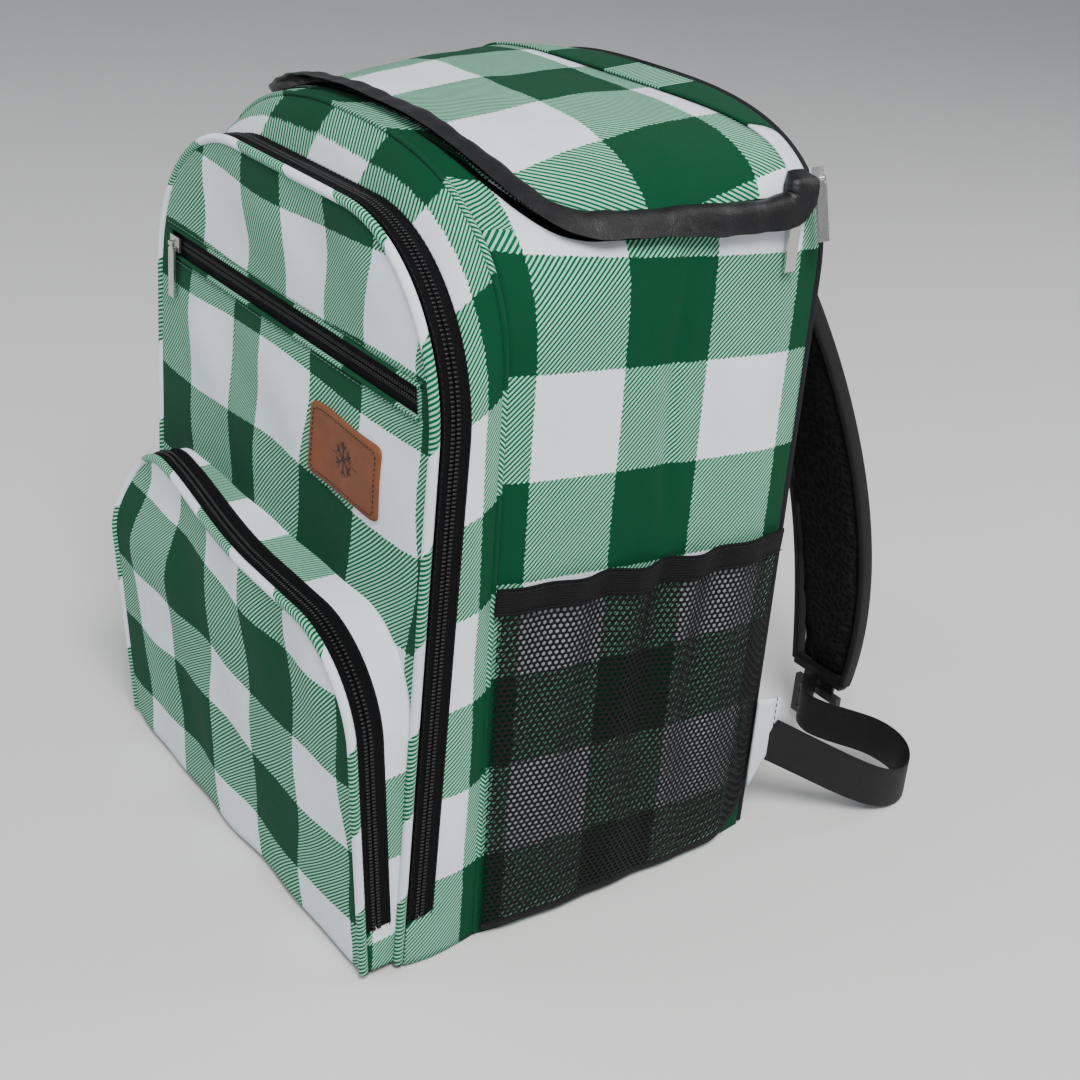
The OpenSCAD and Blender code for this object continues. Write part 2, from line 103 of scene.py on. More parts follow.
def calc(tree, operation, *values):
    """One Math node; each value is a number or another node's output."""
    node = tree.nodes.new("ShaderNodeMath")
    node.operation = operation
    for k, value in enumerate(values):
        if isinstance(value, (int, float)):
            node.inputs[k].default_value = value
        else:
            tree.links.new(value, node.inputs[k])
    return node.outputs[0]


def place_of(tree, kind="Object"):
    return tree.nodes.new("ShaderNodeTexCoord").outputs[kind]


def grain(tree, scale, detail=3, where=None):
    node = tree.nodes.new("ShaderNodeTexNoise")
    node.inputs["Scale"].default_value, node.inputs["Detail"].default_value = scale, detail
    tree.links.new(where or place_of(tree), node.inputs["Vector"])
    return node.outputs["Fac"]


def even_grey(tree, tone):
    node = tree.nodes.new("ShaderNodeCombineColor")
    for k in range(3):
        tree.links.new(tone, node.inputs[k])
    return node.outputs[0]


studio_paper, tree, shader = finish_of("studio_paper", (0.74, 0.74, 0.73), 0.85)
shade = calc(tree, "MULTIPLY_ADD", grain(tree, 3), 0.04, 0.72)
tree.links.new(even_grey(tree, shade), shader.inputs["Base Color"])
bpy.ops.mesh.primitive_plane_add(size=40)
floor = bpy.context.object
floor.name = "studio_floor"
floor.data.materials.append(studio_paper)

# ---- Outer fabric: woven check ----
# Twill with 50 mm green and white bands both ways: solid green where two green bands
# cross, white where two white ones do, and a diagonal hatch where they mix.
BAND = 50.0
deep_green, leaf_green = (0.0006, 0.058, 0.022), (0.0015, 0.115, 0.046)
mint, chalk = (0.34, 0.66, 0.50), (0.80, 0.85, 0.93)


def colour_mix(tree, share, a, b, kind="MIX"):
    node = tree.nodes.new("ShaderNodeMix")
    node.data_type, node.blend_type = "RGBA", kind
    for socket, value in ((node.inputs[0], share), (node.inputs[6], a), (node.inputs[7], b)):
        if isinstance(value, (int, float)):
            socket.default_value = value
        elif isinstance(value, tuple):
            socket.default_value = (*value, 1)
        else:
            tree.links.new(value, socket)
    return node.outputs[2]


def relief(tree, shader, height, depth):
    node = tree.nodes.new("ShaderNodeBump")
    node.inputs["Distance"].default_value = depth
    node.inputs["Strength"].default_value = 1
    tree.links.new(height, node.inputs["Height"])
    tree.links.new(node.outputs[0], shader.inputs["Normal"])


def band_chart(tree):
    """The two directions of a piece's own chart, along and across its cloth."""
    chart = tree.nodes.new("ShaderNodeUVMap")
    chart.uv_map = "bands"
    split = tree.nodes.new("ShaderNodeSeparateXYZ")
    tree.links.new(chart.outputs[0], split.inputs[0])
    return split.outputs[0], split.outputs[1]


def woven_check(name):
    made, tree, shader = finish_of(name, chalk, 0.84, sheen=0.02)
    shader.inputs["Specular IOR Level"].default_value = 0.12
    u, v = band_chart(tree)
    masks = []
    for a, b in ((u, v), (v, u)):
        tooth = calc(tree, "PINGPONG", calc(tree, "MULTIPLY", b, BAND / 1.6), 1.0)
        edge = calc(tree, "MULTIPLY_ADD", tooth, 0.016, a)
        masks.append(calc(tree, "LESS_THAN", calc(tree, "FRACT", calc(tree, "MULTIPLY", edge, 0.5)), 0.5))
    green_bands = calc(tree, "ADD", *masks)
    slant = calc(tree, "FRACT", calc(tree, "MULTIPLY", calc(tree, "SUBTRACT", u, v), BAND / 2.55))
    hatch = calc(tree, "LESS_THAN", slant, 0.55)
    fine = calc(tree, "FRACT", calc(tree, "MULTIPLY", calc(tree, "SUBTRACT", u, v), BAND / 1.0))
    mingled = colour_mix(tree, hatch, mint, leaf_green)
    cloth_colour = colour_mix(tree, calc(tree, "GREATER_THAN", green_bands, 0.5), chalk, mingled)
    cloth_colour = colour_mix(tree, calc(tree, "GREATER_THAN", green_bands, 1.5), cloth_colour, deep_green)
    tone = calc(tree, "MULTIPLY_ADD", grain(tree, 22, 4), 0.22, 0.88)
    tone = calc(tree, "ADD", tone, calc(tree, "MULTIPLY", fine, -0.10))
    cloth_colour = colour_mix(tree, 1.0, cloth_colour, even_grey(tree, tone), "MULTIPLY")
    tree.links.new(cloth_colour, shader.inputs["Base Color"])
    fuzz = calc(tree, "MULTIPLY", grain(tree, 1800, 2), 0.8)
    threads = calc(tree, "ADD", calc(tree, "MULTIPLY", fine, 0.5), fuzz)
    crumple = calc(tree, "MULTIPLY", grain(tree, 17, 3), 7.5)
    relief(tree, shader, calc(tree, "ADD", threads, crumple), 0.00022)
    return made


check_cloth = woven_check("check_cloth")

# ---- Lining, foam and liner film ----
# The pockets and the panels' backs are lined with thin dark taffeta. The liner is a
# silver film, welded at its seams, over closed-cell foam.
lining_cloth, tree, shader = finish_of("lining_cloth", (0.012, 0.013, 0.015), 0.7, gloss=0.15)
relief(tree, shader, grain(tree, 900, 3), 0.0002)
silver_film, tree, shader = finish_of("silver_film", (0.62, 0.64, 0.66), 0.28, metal=0.75)
relief(tree, shader, grain(tree, 60, 4), 0.0012)
tone = calc(tree, "MULTIPLY_ADD", grain(tree, 45, 3), 0.25, 0.2)
tree.links.new(tone, shader.inputs["Roughness"])


# ---- Main compartment shell ----
# Check fabric over foam sheets: two sides that run on as a narrow strip before the
# lid's zip and one behind the lid. It is sewn to the front and back along the edges.
FRONT_Y, BACK_Y, HINGE_Y, ZIP_Z, ZIP_FRONT, ZIP_CORNER = -90.0, 90.0, 66.0, 363.0, -75.0, 32.0
key_depths = [-90, -75, 0, 66, 90]


def skin(name, grids, material, body, thick=1.4, charts=None, stands_for=(), backing=None):
    """A sewn panel from one or more grids of points in mm, with its band chart."""
    verts, faces, uvs, start = [], [], [], 0
    for g, grid in enumerate(grids):
        m, n = grid.shape[:2]
        verts.extend(map(tuple, grid.reshape(-1, 3) * MM))
        chart = charts[g] if charts else None
        for i in range(m - 1):
            for j in range(n - 1):
                corners = ((i, j), (i + 1, j), (i + 1, j + 1), (i, j + 1))
                faces.append([start + a * n + b for a, b in corners])
                uvs.extend(tuple(chart[a, b]) if charts else (0, 0) for a, b in corners)
        start += m * n
    mesh = bpy.data.meshes.new(name)
    mesh.from_pydata(verts, [], faces)
    layer = mesh.uv_layers.new(name="bands")
    layer.data.foreach_set("uv", np.array(uvs, dtype=np.float32).ravel())
    work = bmesh.new()
    work.from_mesh(mesh)
    bmesh.ops.remove_doubles(work, verts=work.verts, dist=0.00002)
    bmesh.ops.dissolve_degenerate(work, edges=work.edges, dist=0.00001)
    work.to_mesh(mesh)
    work.free()
    made = bpy.data.objects.new(name, mesh)
    bpy.context.scene.collection.objects.link(made)
    if thick:
        solid = made.modifiers.new("thickness", "SOLIDIFY")
        solid.thickness, solid.offset = thick * MM, -1
        if backing:
            mesh.materials.append(material)
            mesh.materials.append(backing)
            solid.material_offset = 1
        settle(made)
    return dress(made, material, body, stands_for)


def settle(made):
    """Applies every modifier on a piece, so its mesh is final."""
    bpy.context.view_layer.update()
    graph = bpy.context.evaluated_depsgraph_get()
    final = bpy.data.meshes.new_from_object(made.evaluated_get(graph))
    made.modifiers.clear()
    made.data = final


def dress(made, material, body, stands_for=()):
    if len(made.data.materials) < 2:
        made.data.materials.clear()
        made.data.materials.append(material)
    for face in made.data.polygons:
        face.use_smooth = True
    if isinstance(body, str):
        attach(made, body)
    else:
        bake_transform(made)
    if stands_for:
        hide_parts(*stands_for)
    return made


def section(y, inset=0.0, count=160):
    """The bag's right half outline at depth y, from the base up to the middle of the top."""
    half = np.interp(y, key_depths, [137, 139, 140, 139.5, 136]) - inset
    top = np.interp(y, key_depths, [389.5, 391.5, 394.5, 396.5, 398.5]) - inset
    spring = np.interp(y, key_depths, [300, 303, 322, 338, 320])
    power = np.interp(y, key_depths, [2.45, 2.6, 3.4, 4.6, 2.9])
    t = np.linspace(0, np.pi / 2, count)
    x = half * np.cos(t) ** (2 / power)
    z = spring + (top - spring) * np.sin(t) ** (2 / power)
    rise = np.linspace(0, 1, 40)[:-1]
    return np.concatenate([np.stack([half + 0 * rise, spring * rise], 1), np.stack([x, z], 1)])


def spaced(line, count, low=None, high=None):
    """Evenly spaced points on a line, by length, between two lengths."""
    step = np.r_[0, np.cumsum(np.linalg.norm(np.diff(line, axis=0), axis=1))]
    at = np.linspace(step[0] if low is None else low, step[-1] if high is None else high, count)
    return np.stack([np.interp(at, step, line[:, k]) for k in range(line.shape[1])], 1), at


def length_at_height(line, z):
    step = np.r_[0, np.cumsum(np.linalg.norm(np.diff(line, axis=0), axis=1))]
    k = np.argmax(line[:, 1] >= z)
    share = (z - line[k - 1, 1]) / (line[k, 1] - line[k - 1, 1])
    return step[k - 1] + share * (step[k] - step[k - 1])


def over_top(y, count, z=ZIP_Z, inset=0.0):
    """The outline above height z, right to left: points and lengths from the middle."""
    half = section(y, inset)
    points, at = spaced(half, count // 2 + 1, low=length_at_height(half, z))
    whole = np.concatenate([points, points[-2::-1] * [-1, 1]])
    reach = at[-1] - at
    return whole, np.concatenate([reach, -reach[-2::-1]]), at[0]


def folds(a, b, size, depth, seed):
    """Soft waves over a surface: the sum of a few slanting ripples."""
    draw = np.random.default_rng(seed)
    total = 0 * (a + b)
    for _ in range(7):
        turn, phase, scale = draw.uniform(0, np.pi), draw.uniform(0, 6.3), draw.uniform(0.6, 1.7)
        total = total + np.sin((a * np.cos(turn) + b * np.sin(turn)) / (size * scale) * 6.28 + phase)
    return depth * total / 7


def zip_start(z):
    """Depth of the lid's front edge where the outline stands at height z."""
    drop = np.clip(ZIP_Z + ZIP_CORNER - z, 0, ZIP_CORNER)
    return ZIP_FRONT + ZIP_CORNER - np.sqrt(ZIP_CORNER ** 2 - drop ** 2)


side_u = lambda y: np.interp(y, [-125, -75, -27, 22, 76, 126], [-2, -1, 0, 1, 2, 3])
side_rows = [-54, -3, 47, 100, 151, 201, 252, 303, 353, 403, 553]
side_v = lambda z, y: np.interp(z + 0.09 * (y + 50), side_rows, [-7, -6, -5, -4, -3, -2, -1, 0, 1, 2, 5])
TOP = 96
first_z = over_top(-75, TOP)[0][:, 1]
front_run = np.linspace(0, 1, 12)
lid_run = np.linspace(0, 1, 50)
back_run = np.linspace(0, 1, 10)
depths = np.concatenate([FRONT_Y + front_run * (zip_start(ZIP_Z) - FRONT_Y),
                         (zip_start(ZIP_Z) + lid_run * (HINGE_Y - zip_start(ZIP_Z)))[1:],
                         (HINGE_Y + back_run * (BACK_Y - HINGE_Y))[1:]])


def side_wall(sign, inset=0.0, rows=110, base=0.0):
    grid, chart = [], []
    for y in depths:
        half = section(y, inset)
        points, at = spaced(half, rows, low=base, high=length_at_height(half, ZIP_Z))
        z = points[:, 1]
        edge = np.clip(1 - (y / 90) ** 4, 0, 1) * np.sin(np.pi * np.clip(z / 363, 0, 1)) ** 0.5
        puff = folds(y + sign * 40, z * 0.6, 70, 1.4, 3) * edge + 1.5 * edge
        dent = np.exp(-((y - 4 - 3 * np.sin(z / 26)) / 5) ** 2)
        crease = -2.2 * dent * np.clip((z - 200) / 40, 0, 1) * edge
        grid.append(np.stack([sign * (points[:, 0] + puff + crease), y + 0 * z, z], 1))
        chart.append(np.stack([side_u(y) + 0 * z, side_v(z, y)], 1))
    grid, chart = np.array(grid), np.array(chart)
    return (grid, chart) if sign > 0 else (grid[::-1], chart[::-1])


def top_strip(starts, ends, run, inset=0.0, back_strip=False):
    """The shell over the top between two depths that may vary round the arch."""
    grid, chart = [], []
    for share in run:
        y = starts + share * (ends - starts)
        rows = [over_top(yy, TOP, inset=inset) for yy in y]
        points = np.array([rows[k][0][k] for k in range(TOP + 1)])
        reach = np.array([rows[k][1][k] for k in range(TOP + 1)])
        whole = np.array([rows[k][2] for k in range(TOP + 1)]) + np.abs(reach[0])
        grid.append(np.stack([points[:, 0], y, points[:, 1]], 1))
        if back_strip:
            u = np.interp(reach, [-160, -110, -60, -10, 35, 103, 153], [-4, -3, -2, -1, 0, 1, 2])
            v = 0.5 + np.clip((reach - 100) / 4, 0, 1)
            chart.append(np.stack([u, v], 1))
        else:
            chart.append(np.stack([side_u(y), side_v(whole - reach, y)], 1))
    return np.array(grid), np.array(chart)


ones = np.ones(TOP + 1)
pieces = [side_wall(1), side_wall(-1), top_strip(FRONT_Y * ones, zip_start(first_z), front_run),
          top_strip(HINGE_Y * ones, BACK_Y * ones, back_run, back_strip=True)]
skin("body_shell", [p[0] for p in pieces], check_cloth, "bag",
     charts=[p[1] for p in pieces],
     stands_for=("side_panel_right", "side_panel_left", "top_front_strip", "top_back_strip"))


def wall(name, y, thick, material, stands_for, base=0.0):
    """A flat sheet across the whole section at depth y."""
    points, _ = spaced(section(y), 120)
    points[:, 1] = np.maximum(points[:, 1], base)
    across = np.linspace(-1, 1, 41)
    grid = np.array([[(p[0] * a, y, p[1]) for a in across] for p in points])
    return skin(name, [grid if y > 0 else grid[::-1]], material, "bag", thick, stands_for=stands_for)


wall("front_wall_lining", -90.0, 1.2, lining_cloth, ("front_wall",))
wall("back_wall_cloth", 89.8, 1.2, lining_cloth, ("back_wall",), base=2)

# ---- Liner and rim ----
# The welded silver liner stands inside the foam and is turned over at the rim, where
# it is bound together with the outer fabric.
INSET, LINER_Y, LINER_FOOT = 8.0, 82.0, 11.0
inner = [side_wall(1, INSET, 60, LINER_FOOT), side_wall(-1, INSET, 60, LINER_FOOT),
         top_strip(-LINER_Y * ones, zip_start(first_z), front_run, INSET),
         top_strip((HINGE_Y + 1) * ones, LINER_Y * ones, back_run, INSET)]
for grid, _ in inner[:2]:
    grid[..., 1] = np.clip(grid[..., 1], -LINER_Y, LINER_Y)
skin("liner_walls", [g[0][::-1] for g in inner], silver_film, "bag", 0.8,
     stands_for=("foam_side_right", "foam_side_left", "foam_front", "foam_back"))
ends = []
for y in (-LINER_Y, LINER_Y):
    points, _ = spaced(section(y, INSET), 90)
    points[:, 1] = np.maximum(points[:, 1], LINER_FOOT)
    grid = np.array([[(p[0] * a, y, p[1]) for a in np.linspace(-1, 1, 31)] for p in points])
    ends.append(grid if y < 0 else grid[::-1])
plate = np.array([[(x, y, LINER_FOOT + 0.6 * np.sin(x / 19) * np.sin(y / 23))
                   for y in np.linspace(-LINER_Y, LINER_Y, 30)] for x in np.linspace(-131.5, 131.5, 40)])
skin("liner_ends", ends + [plate], silver_film, "bag", 0.8,
     stands_for=("liner", "foam_base", "base_board"))


# ---- Lid ----
# A padded top panel of the same check, hinged on its back seam. Silver film lines it,
# and a coated rain guard is sewn over its zip.
LID = ("bag", "lid", (0, 0.066, 0.396), (0, 0.042, 0.396))  # lid pieces are baked where they stand; the hinge points are not read
lid_u_marks = [-170, -120, -70, -20, 33, 86, 139, 189]
lid_v_marks = [-163, -113, -63, -5, 54, 104]


def made_of(name, verts, faces, uvs=None, turn_out=True):
    """A new object from points in mm, with its chart and its faces turned outwards."""
    mesh = bpy.data.meshes.new(name)
    mesh.from_pydata((np.array(verts) * MM).tolist(), [], faces)
    if uvs is not None:
        mesh.uv_layers.new(name="bands").data.foreach_set("uv", np.array(uvs, np.float32).ravel())
    if turn_out:
        work = bmesh.new()
        work.from_mesh(mesh)
        bmesh.ops.recalc_face_normals(work, faces=work.faces)
        work.to_mesh(mesh)
        work.free()
    made = bpy.data.objects.new(name, mesh)
    bpy.context.scene.collection.objects.link(made)
    return made


def unit(v):
    return v / np.maximum(np.linalg.norm(v, axis=-1, keepdims=True), 1e-9)


def sweep(name, line, out, profile, material, body, stands_for=(), loop=False, closed=True,
          chart=None, taper=None):
    """Carries a cross-section (across, outwards) along a line with outward directions."""
    line, profile = np.array(line, float), np.array(profile, float)
    out = np.array(np.broadcast_to(np.array(out, float), line.shape))
    way = np.gradient(line, axis=0)
    if loop:
        way = np.roll(line, -1, 0) - np.roll(line, 1, 0)
    way = unit(way)
    across = unit(np.cross(way, out))
    out = unit(np.cross(across, way))
    size = np.ones(len(line)) if taper is None else taper
    rings = (line[:, None] + across[:, None] * (profile[None, :, :1] * size[:, None, None])
             + out[:, None] * (profile[None, :, 1:] * size[:, None, None]))
    m, n = rings.shape[:2]
    along = np.r_[0, np.cumsum(np.linalg.norm(np.diff(line, axis=0), axis=1))]
    around = np.r_[0, np.cumsum(np.linalg.norm(np.diff(np.r_[profile, profile[:1]], axis=0), axis=1))]
    faces, uvs = [], []
    for i in range(m if loop else m - 1):
        k = (i + 1) % m
        for j in range(n if closed else n - 1):
            l = (j + 1) % n
            faces.append((i * n + j, k * n + j, k * n + l, i * n + l))
            for a, b in ((i, j), (i + 1, j), (i + 1, j + 1), (i, j + 1)):
                s = along[min(a, m - 1)]
                uvs.append((s, around[b]) if chart is None else chart(s, around[b]))
    if closed and not loop:
        faces += [tuple(range(n))[::-1], tuple((m - 1) * n + j for j in range(n))]
        uvs += [(0, 0)] * (2 * n)
    return dress(made_of(name, rings.reshape(-1, 3), faces, uvs), material, body, stands_for)


def lid_sheet(inset, edge_gap):
    grid, chart = [], []
    start = np.minimum(zip_start(first_z) + edge_gap, HINGE_Y - 2)
    for share in lid_run:
        y = start + share * (HINGE_Y - 0.3 - start)
        rows = [over_top(yy, TOP, z=ZIP_Z + edge_gap, inset=inset) for yy in y]
        points = np.array([rows[k][0][k] for k in range(TOP + 1)])
        reach = np.array([rows[k][1][k] for k in range(TOP + 1)])
        swell = 2.5 * np.sin(np.pi * np.clip(share, 0, 1)) * np.clip(1 - (np.abs(reach) / 165) ** 4, 0, 1)
        ripple = folds(reach, y, 62, 1.6, 9) * np.sin(np.pi * share) ** 0.5
        lift = (swell + ripple - 1.5) * (points[:, 1] - 340) / 56
        grid.append(np.stack([points[:, 0], y, points[:, 1] + (lift if inset == 0 else 0)], 1))
        u = np.interp(reach + 0.10 * (y - 20), lid_u_marks, [-3, -2, -1, 0, 1, 2, 3, 4])
        v = np.interp(y + 0.05 * reach, lid_v_marks, [-3, -2, -1, 0, 1, 2])
        chart.append(np.stack([u, v], 1))
    return np.array(grid), np.array(chart)


lid_top, lid_chart = lid_sheet(0.0, 0.0)
skin("lid_cloth", [lid_top], check_cloth, LID, charts=[lid_chart],
     stands_for=("lid_shell",))
skin("lid_lining", [lid_sheet(INSET, 1.5)[0][::-1]], silver_film, LID, 0.8,
     stands_for=("lid_liner", "lid_foam"))

# The edge of the lid, from its right back corner round the front to the left back corner
right_side, front_edge, left_side = lid_top[::-1, 0], lid_top[0], lid_top[:, -1]
edge_line = np.concatenate([right_side, front_edge[1:-1], left_side])


def outward(points):
    """Directions away from the shell, found from the section at each point's depth."""
    found = []
    for x, y, z in points:
        half = section(y)
        k = int(np.argmin(np.abs(half[:, 0] - abs(x)) + np.abs(half[:, 1] - z)))
        k = min(max(k, 2), len(half) - 3)
        t = half[k + 2] - half[k - 2]
        n = np.array([t[1], -t[0]]) / max(np.hypot(*t), 1e-6)
        found.append((np.sign(x) * n[0] if abs(x) > 1 else 0.0, 0.0, n[1]))
    return unit(np.array(found))


edge_line, _ = spaced(edge_line, 420)
edge_out = outward(edge_line)
for _ in range(12):
    edge_out[1:-1] = unit(edge_out[:-2] + edge_out[1:-1] * 2 + edge_out[2:])
    edge_line[1:-1] = (edge_line[:-2] + edge_line[1:-1] * 2 + edge_line[2:]) / 4
guard_cloth, tree, shader = finish_of("guard_cloth", (0.004, 0.004, 0.005), 0.42, gloss=0.4)
coating = calc(tree, "MULTIPLY", grain(tree, 1400, 2), 0.12)
wrinkle = calc(tree, "ADD", calc(tree, "MULTIPLY", grain(tree, 55, 3), 1.0), coating)
relief(tree, shader, wrinkle, 0.0016)
tree.links.new(calc(tree, "MULTIPLY_ADD", grain(tree, 130, 3), 0.22, 0.34), shader.inputs["Roughness"])
tail_up = np.array([[134.0, 66.5, 379], [137.2, 66.2, 373], [138.6, 65, 368.0], [139.2, 61.0, 364.6]])
guard_line = np.concatenate([tail_up, edge_line[14:-8]])
guard_line, _ = spaced(guard_line, 420)
guard_out = outward(guard_line)
for _ in range(20):
    guard_out[1:-1] = unit(guard_out[:-2] + guard_out[1:-1] * 2 + guard_out[2:])
turn = np.linspace(0, np.pi, 14)
rise = np.sin(turn).clip(0) ** 0.77
rise = np.where(np.cos(turn) < 0, rise.clip(0.97), rise)
bow = np.stack([np.sign(np.cos(turn)) * np.abs(np.cos(turn)) ** 0.77, rise], 1)
# The guard is a hood over the zip and its sliders, sewn on along its top and open below.
puffy = np.concatenate([bow * [7.5, 6.9], (bow * [6.3, 5.8])[::-1]]) + [-1.0, 0.4]
swell = 1 + 0.05 * np.sin(np.linspace(0, 60, 420)) + 0.03 * np.sin(np.linspace(0, 171, 420))
swell[:6] *= np.linspace(0.45, 1, 6)
swell[-6:] *= np.linspace(1, 0.45, 6)
sweep("lid_guard_flap", guard_line, guard_out, puffy, guard_cloth, LID,
      ("lid_guard",), taper=swell)

# ---- Zips ----
# Woven black tape with a nylon coil. Each row of coil is sewn to its own side of the
# opening, so it stays there when the panels part.
tape_cloth, tree, shader = finish_of("tape_cloth", (0.004, 0.004, 0.005), 0.8, gloss=0.12)
ribs = calc(tree, "SINE", calc(tree, "MULTIPLY", band_chart(tree)[1], 9.0))
relief(tree, shader, calc(tree, "ADD", ribs, grain(tree, 1500, 2)), 0.00018)
coil_nylon, tree, shader = finish_of("coil_nylon", (0.006, 0.006, 0.007), 0.4, gloss=0.4)
relief(tree, shader, grain(tree, 2500, 2), 0.00005)


def spread(out, count):
    """Directions given along a line, taken at count even steps."""
    out = np.atleast_2d(np.array(out, float))
    at, source = np.linspace(0, 1, count), np.linspace(0, 1, len(out))
    return unit(np.stack([np.interp(at, source, out[:, k]) for k in range(3)], 1))


def rounded(width, thick, lift=0.0, power=4.0, count=20, shift=0.0):
    """A soft-cornered strip's cross-section, resting on its line and raised by lift."""
    t = np.linspace(0, 2 * np.pi, count, endpoint=False)
    bend = lambda c: np.sign(c) * np.abs(c) ** (2 / power)
    return np.stack([shift + width / 2 * bend(np.cos(t)), lift + thick / 2 + thick / 2 * bend(np.sin(t))], 1)


def coil(name, line, out, hand, body, stands_for=(), pitch=2.0, width=2.6, lift=0.7):
    """One row of coil: a rounded loop every pitch, lying across the line."""
    line, _ = spaced(np.array(line, float), int(np.linalg.norm(np.diff(line, axis=0), axis=1).sum() / pitch))
    out = spread(out, len(line))
    way = unit(np.gradient(line, axis=0))
    across = unit(np.cross(way, out)) * hand
    out = unit(np.cross(np.cross(way, out), way))
    angle = np.linspace(0, 2 * np.pi, 8, endpoint=False)
    verts, faces = [], []
    for c, w, a, o in zip(line, way, across, out):
        first = len(verts)
        for reach, fat, up in ((0.25, 0.2, 0.1), (0.6, 0.55, 0.25), (width * 0.6, 0.62, 0.45),
                               (width - 0.2, 0.55, 0.2), (width, 0.25, 0)):
            middle = c + a * reach + o * (lift + up - 0.2)
            verts.extend(middle + w * np.cos(t) * fat + o * np.sin(t) * fat * 0.9 for t in angle)
        for r in range(4):
            for k in range(8):
                l = (k + 1) % 8
                low, high = first + r * 8, first + (r + 1) * 8
                faces.append((low + k, high + k, high + l, low + l))
        faces.append(tuple(first + k for k in range(8))[::-1])
        faces.append(tuple(first + 32 + k for k in range(8)))
    return dress(made_of(name, verts, faces), coil_nylon, body, stands_for)


flat_tape = lambda low, high: rounded(high - low, 0.9, -0.5, 8, 12, shift=(low + high) / 2)
lid_zip, lid_zip_out = edge_line[10:-10], edge_out[10:-10]
sweep("lid_zip_tape", lid_zip, lid_zip_out, flat_tape(0.3, 6.5), tape_cloth, LID)
sweep("lid_zip_tape_lower", lid_zip, lid_zip_out, flat_tape(-6.5, -0.3), tape_cloth, "bag")
coil("lid_zip_coil", lid_zip, lid_zip_out, 1, LID, ("zip_lid_upper",))
coil("lid_zip_coil_lower", lid_zip, lid_zip_out, -1, "bag", ("zip_lid_lower",))
rim_cord = rounded(3.0, 8.0, -8.4, 3, 16)
sweep("rim_binding", edge_line - unit(np.cross(np.gradient(edge_line, axis=0), edge_out)) * 2.4, edge_out,
      rim_cord, lining_cloth, "bag")
sweep("lid_binding", edge_line + unit(np.cross(np.gradient(edge_line, axis=0), edge_out)) * 2.4, edge_out,
      rim_cord, lining_cloth, LID)

# ---- Front compartment: gusset ----
# The band of check that joins the zipped front door to the main compartment. It is
# sewn to the front edge of the shell and runs forward to the door's zip.
LEAN = np.radians(2.1)
DOOR = (140.0, 366.0, 86.0)


def on_door(x, y, z):
    """A point given in the door's own plane: across, behind its face, up it."""
    return np.stack([x + 0 * z, -137 + y * np.cos(LEAN) + z * np.sin(LEAN),
                     z * np.cos(LEAN) - y * np.sin(LEAN)], -1)


def arch(half, top, radius, low=4.0, inset=0.0, count=240):
    """Points round an arch from its right foot over the top to its left foot."""
    t = np.linspace(0, np.pi / 2, 40)
    half, top, radius = half - inset, top - inset, max(radius - inset, 4)
    right = np.concatenate([[(half, low)], np.stack([half - radius + radius * np.cos(t),
                                                    top - radius + radius * np.sin(t)], 1)])
    whole = np.concatenate([right, right[::-1] * [-1, 1]])
    line, _ = spaced(whole, count)
    way = unit(np.gradient(line, axis=0))
    return line, np.stack([way[:, 1], -way[:, 0]], 1)


seam = section(-90.0)
seam, seam_at = spaced(np.concatenate([seam, seam[-2::-1] * [-1, 1]]), 240)
ring, ring_way = arch(*DOOR, low=2.0)
grid, chart = [], []
for share in np.linspace(0, 1, 22):
    zipped = 1 / (1 + np.exp(-(ring[:, 1] - 30) / 1.5))
    near = on_door(ring[:, 0], 3.4 + 14.0 * zipped, ring[:, 1])
    far = np.stack([seam[:, 0], -90 + 0 * seam[:, 0], seam[:, 1]], -1)
    bow = 2.0 * np.sin(np.pi * share) + folds(share * 40, seam_at, 60, 1.6, 21) * np.sin(np.pi * share)
    out = np.stack([ring_way[:, 0], 0 * bow, ring_way[:, 1]], -1)
    row = near + (far - near) * share + out * bow[:, None]
    row[:, 2] = np.maximum(row[:, 2], 0.3)
    grid.append(row)
    chart.append(np.stack([(row[:, 1] + 100) / 50, (seam_at - 49) / 50 - 5], 1))
skin("front_gusset_cloth", [np.array(grid)], check_cloth, "bag",
     charts=[np.array(chart)], stands_for=("front_gusset",), backing=lining_cloth)


def tube(radius, count=12):
    t = np.linspace(0, 2 * np.pi, count, endpoint=False)
    return np.stack([radius * np.cos(t), radius * np.sin(t)], 1)


def stitches(name, line, out, body, colour_of, length=2.6, pitch=3.6, fat=0.28):
    """A row of raised thread stitches along a line in mm."""
    line = np.array(line, float)
    total = np.linalg.norm(np.diff(line, axis=0), axis=1).sum()
    middle, _ = spaced(line, max(int(total / pitch), 2))
    out = spread(out, len(middle))
    way = unit(np.gradient(middle, axis=0))
    across = unit(np.cross(way, out))
    verts, faces = [], []
    for c, w, a, o in zip(middle, way, across, out):
        first = len(verts)
        for go, size in ((-0.5, 0.3), (-0.34, 1), (0.34, 1), (0.5, 0.3)):
            lift = fat * 0.5 if abs(go) < 0.4 else 0
            verts.extend(c + w * go * length + o * lift + fat * size * (a * np.cos(t) + o * np.sin(t))
                         for t in np.linspace(0, 2 * np.pi, 6, endpoint=False))
        for r in range(3):
            for k in range(6):
                l = (k + 1) % 6
                low, high = first + r * 6, first + r * 6 + 6
                faces.append((low + k, low + l, high + l, high + k))
        faces += [tuple(first + k for k in range(6))[::-1], tuple(first + 18 + k for k in range(6))]
    return dress(made_of(name, verts, faces, turn_out=False), colour_of, body)


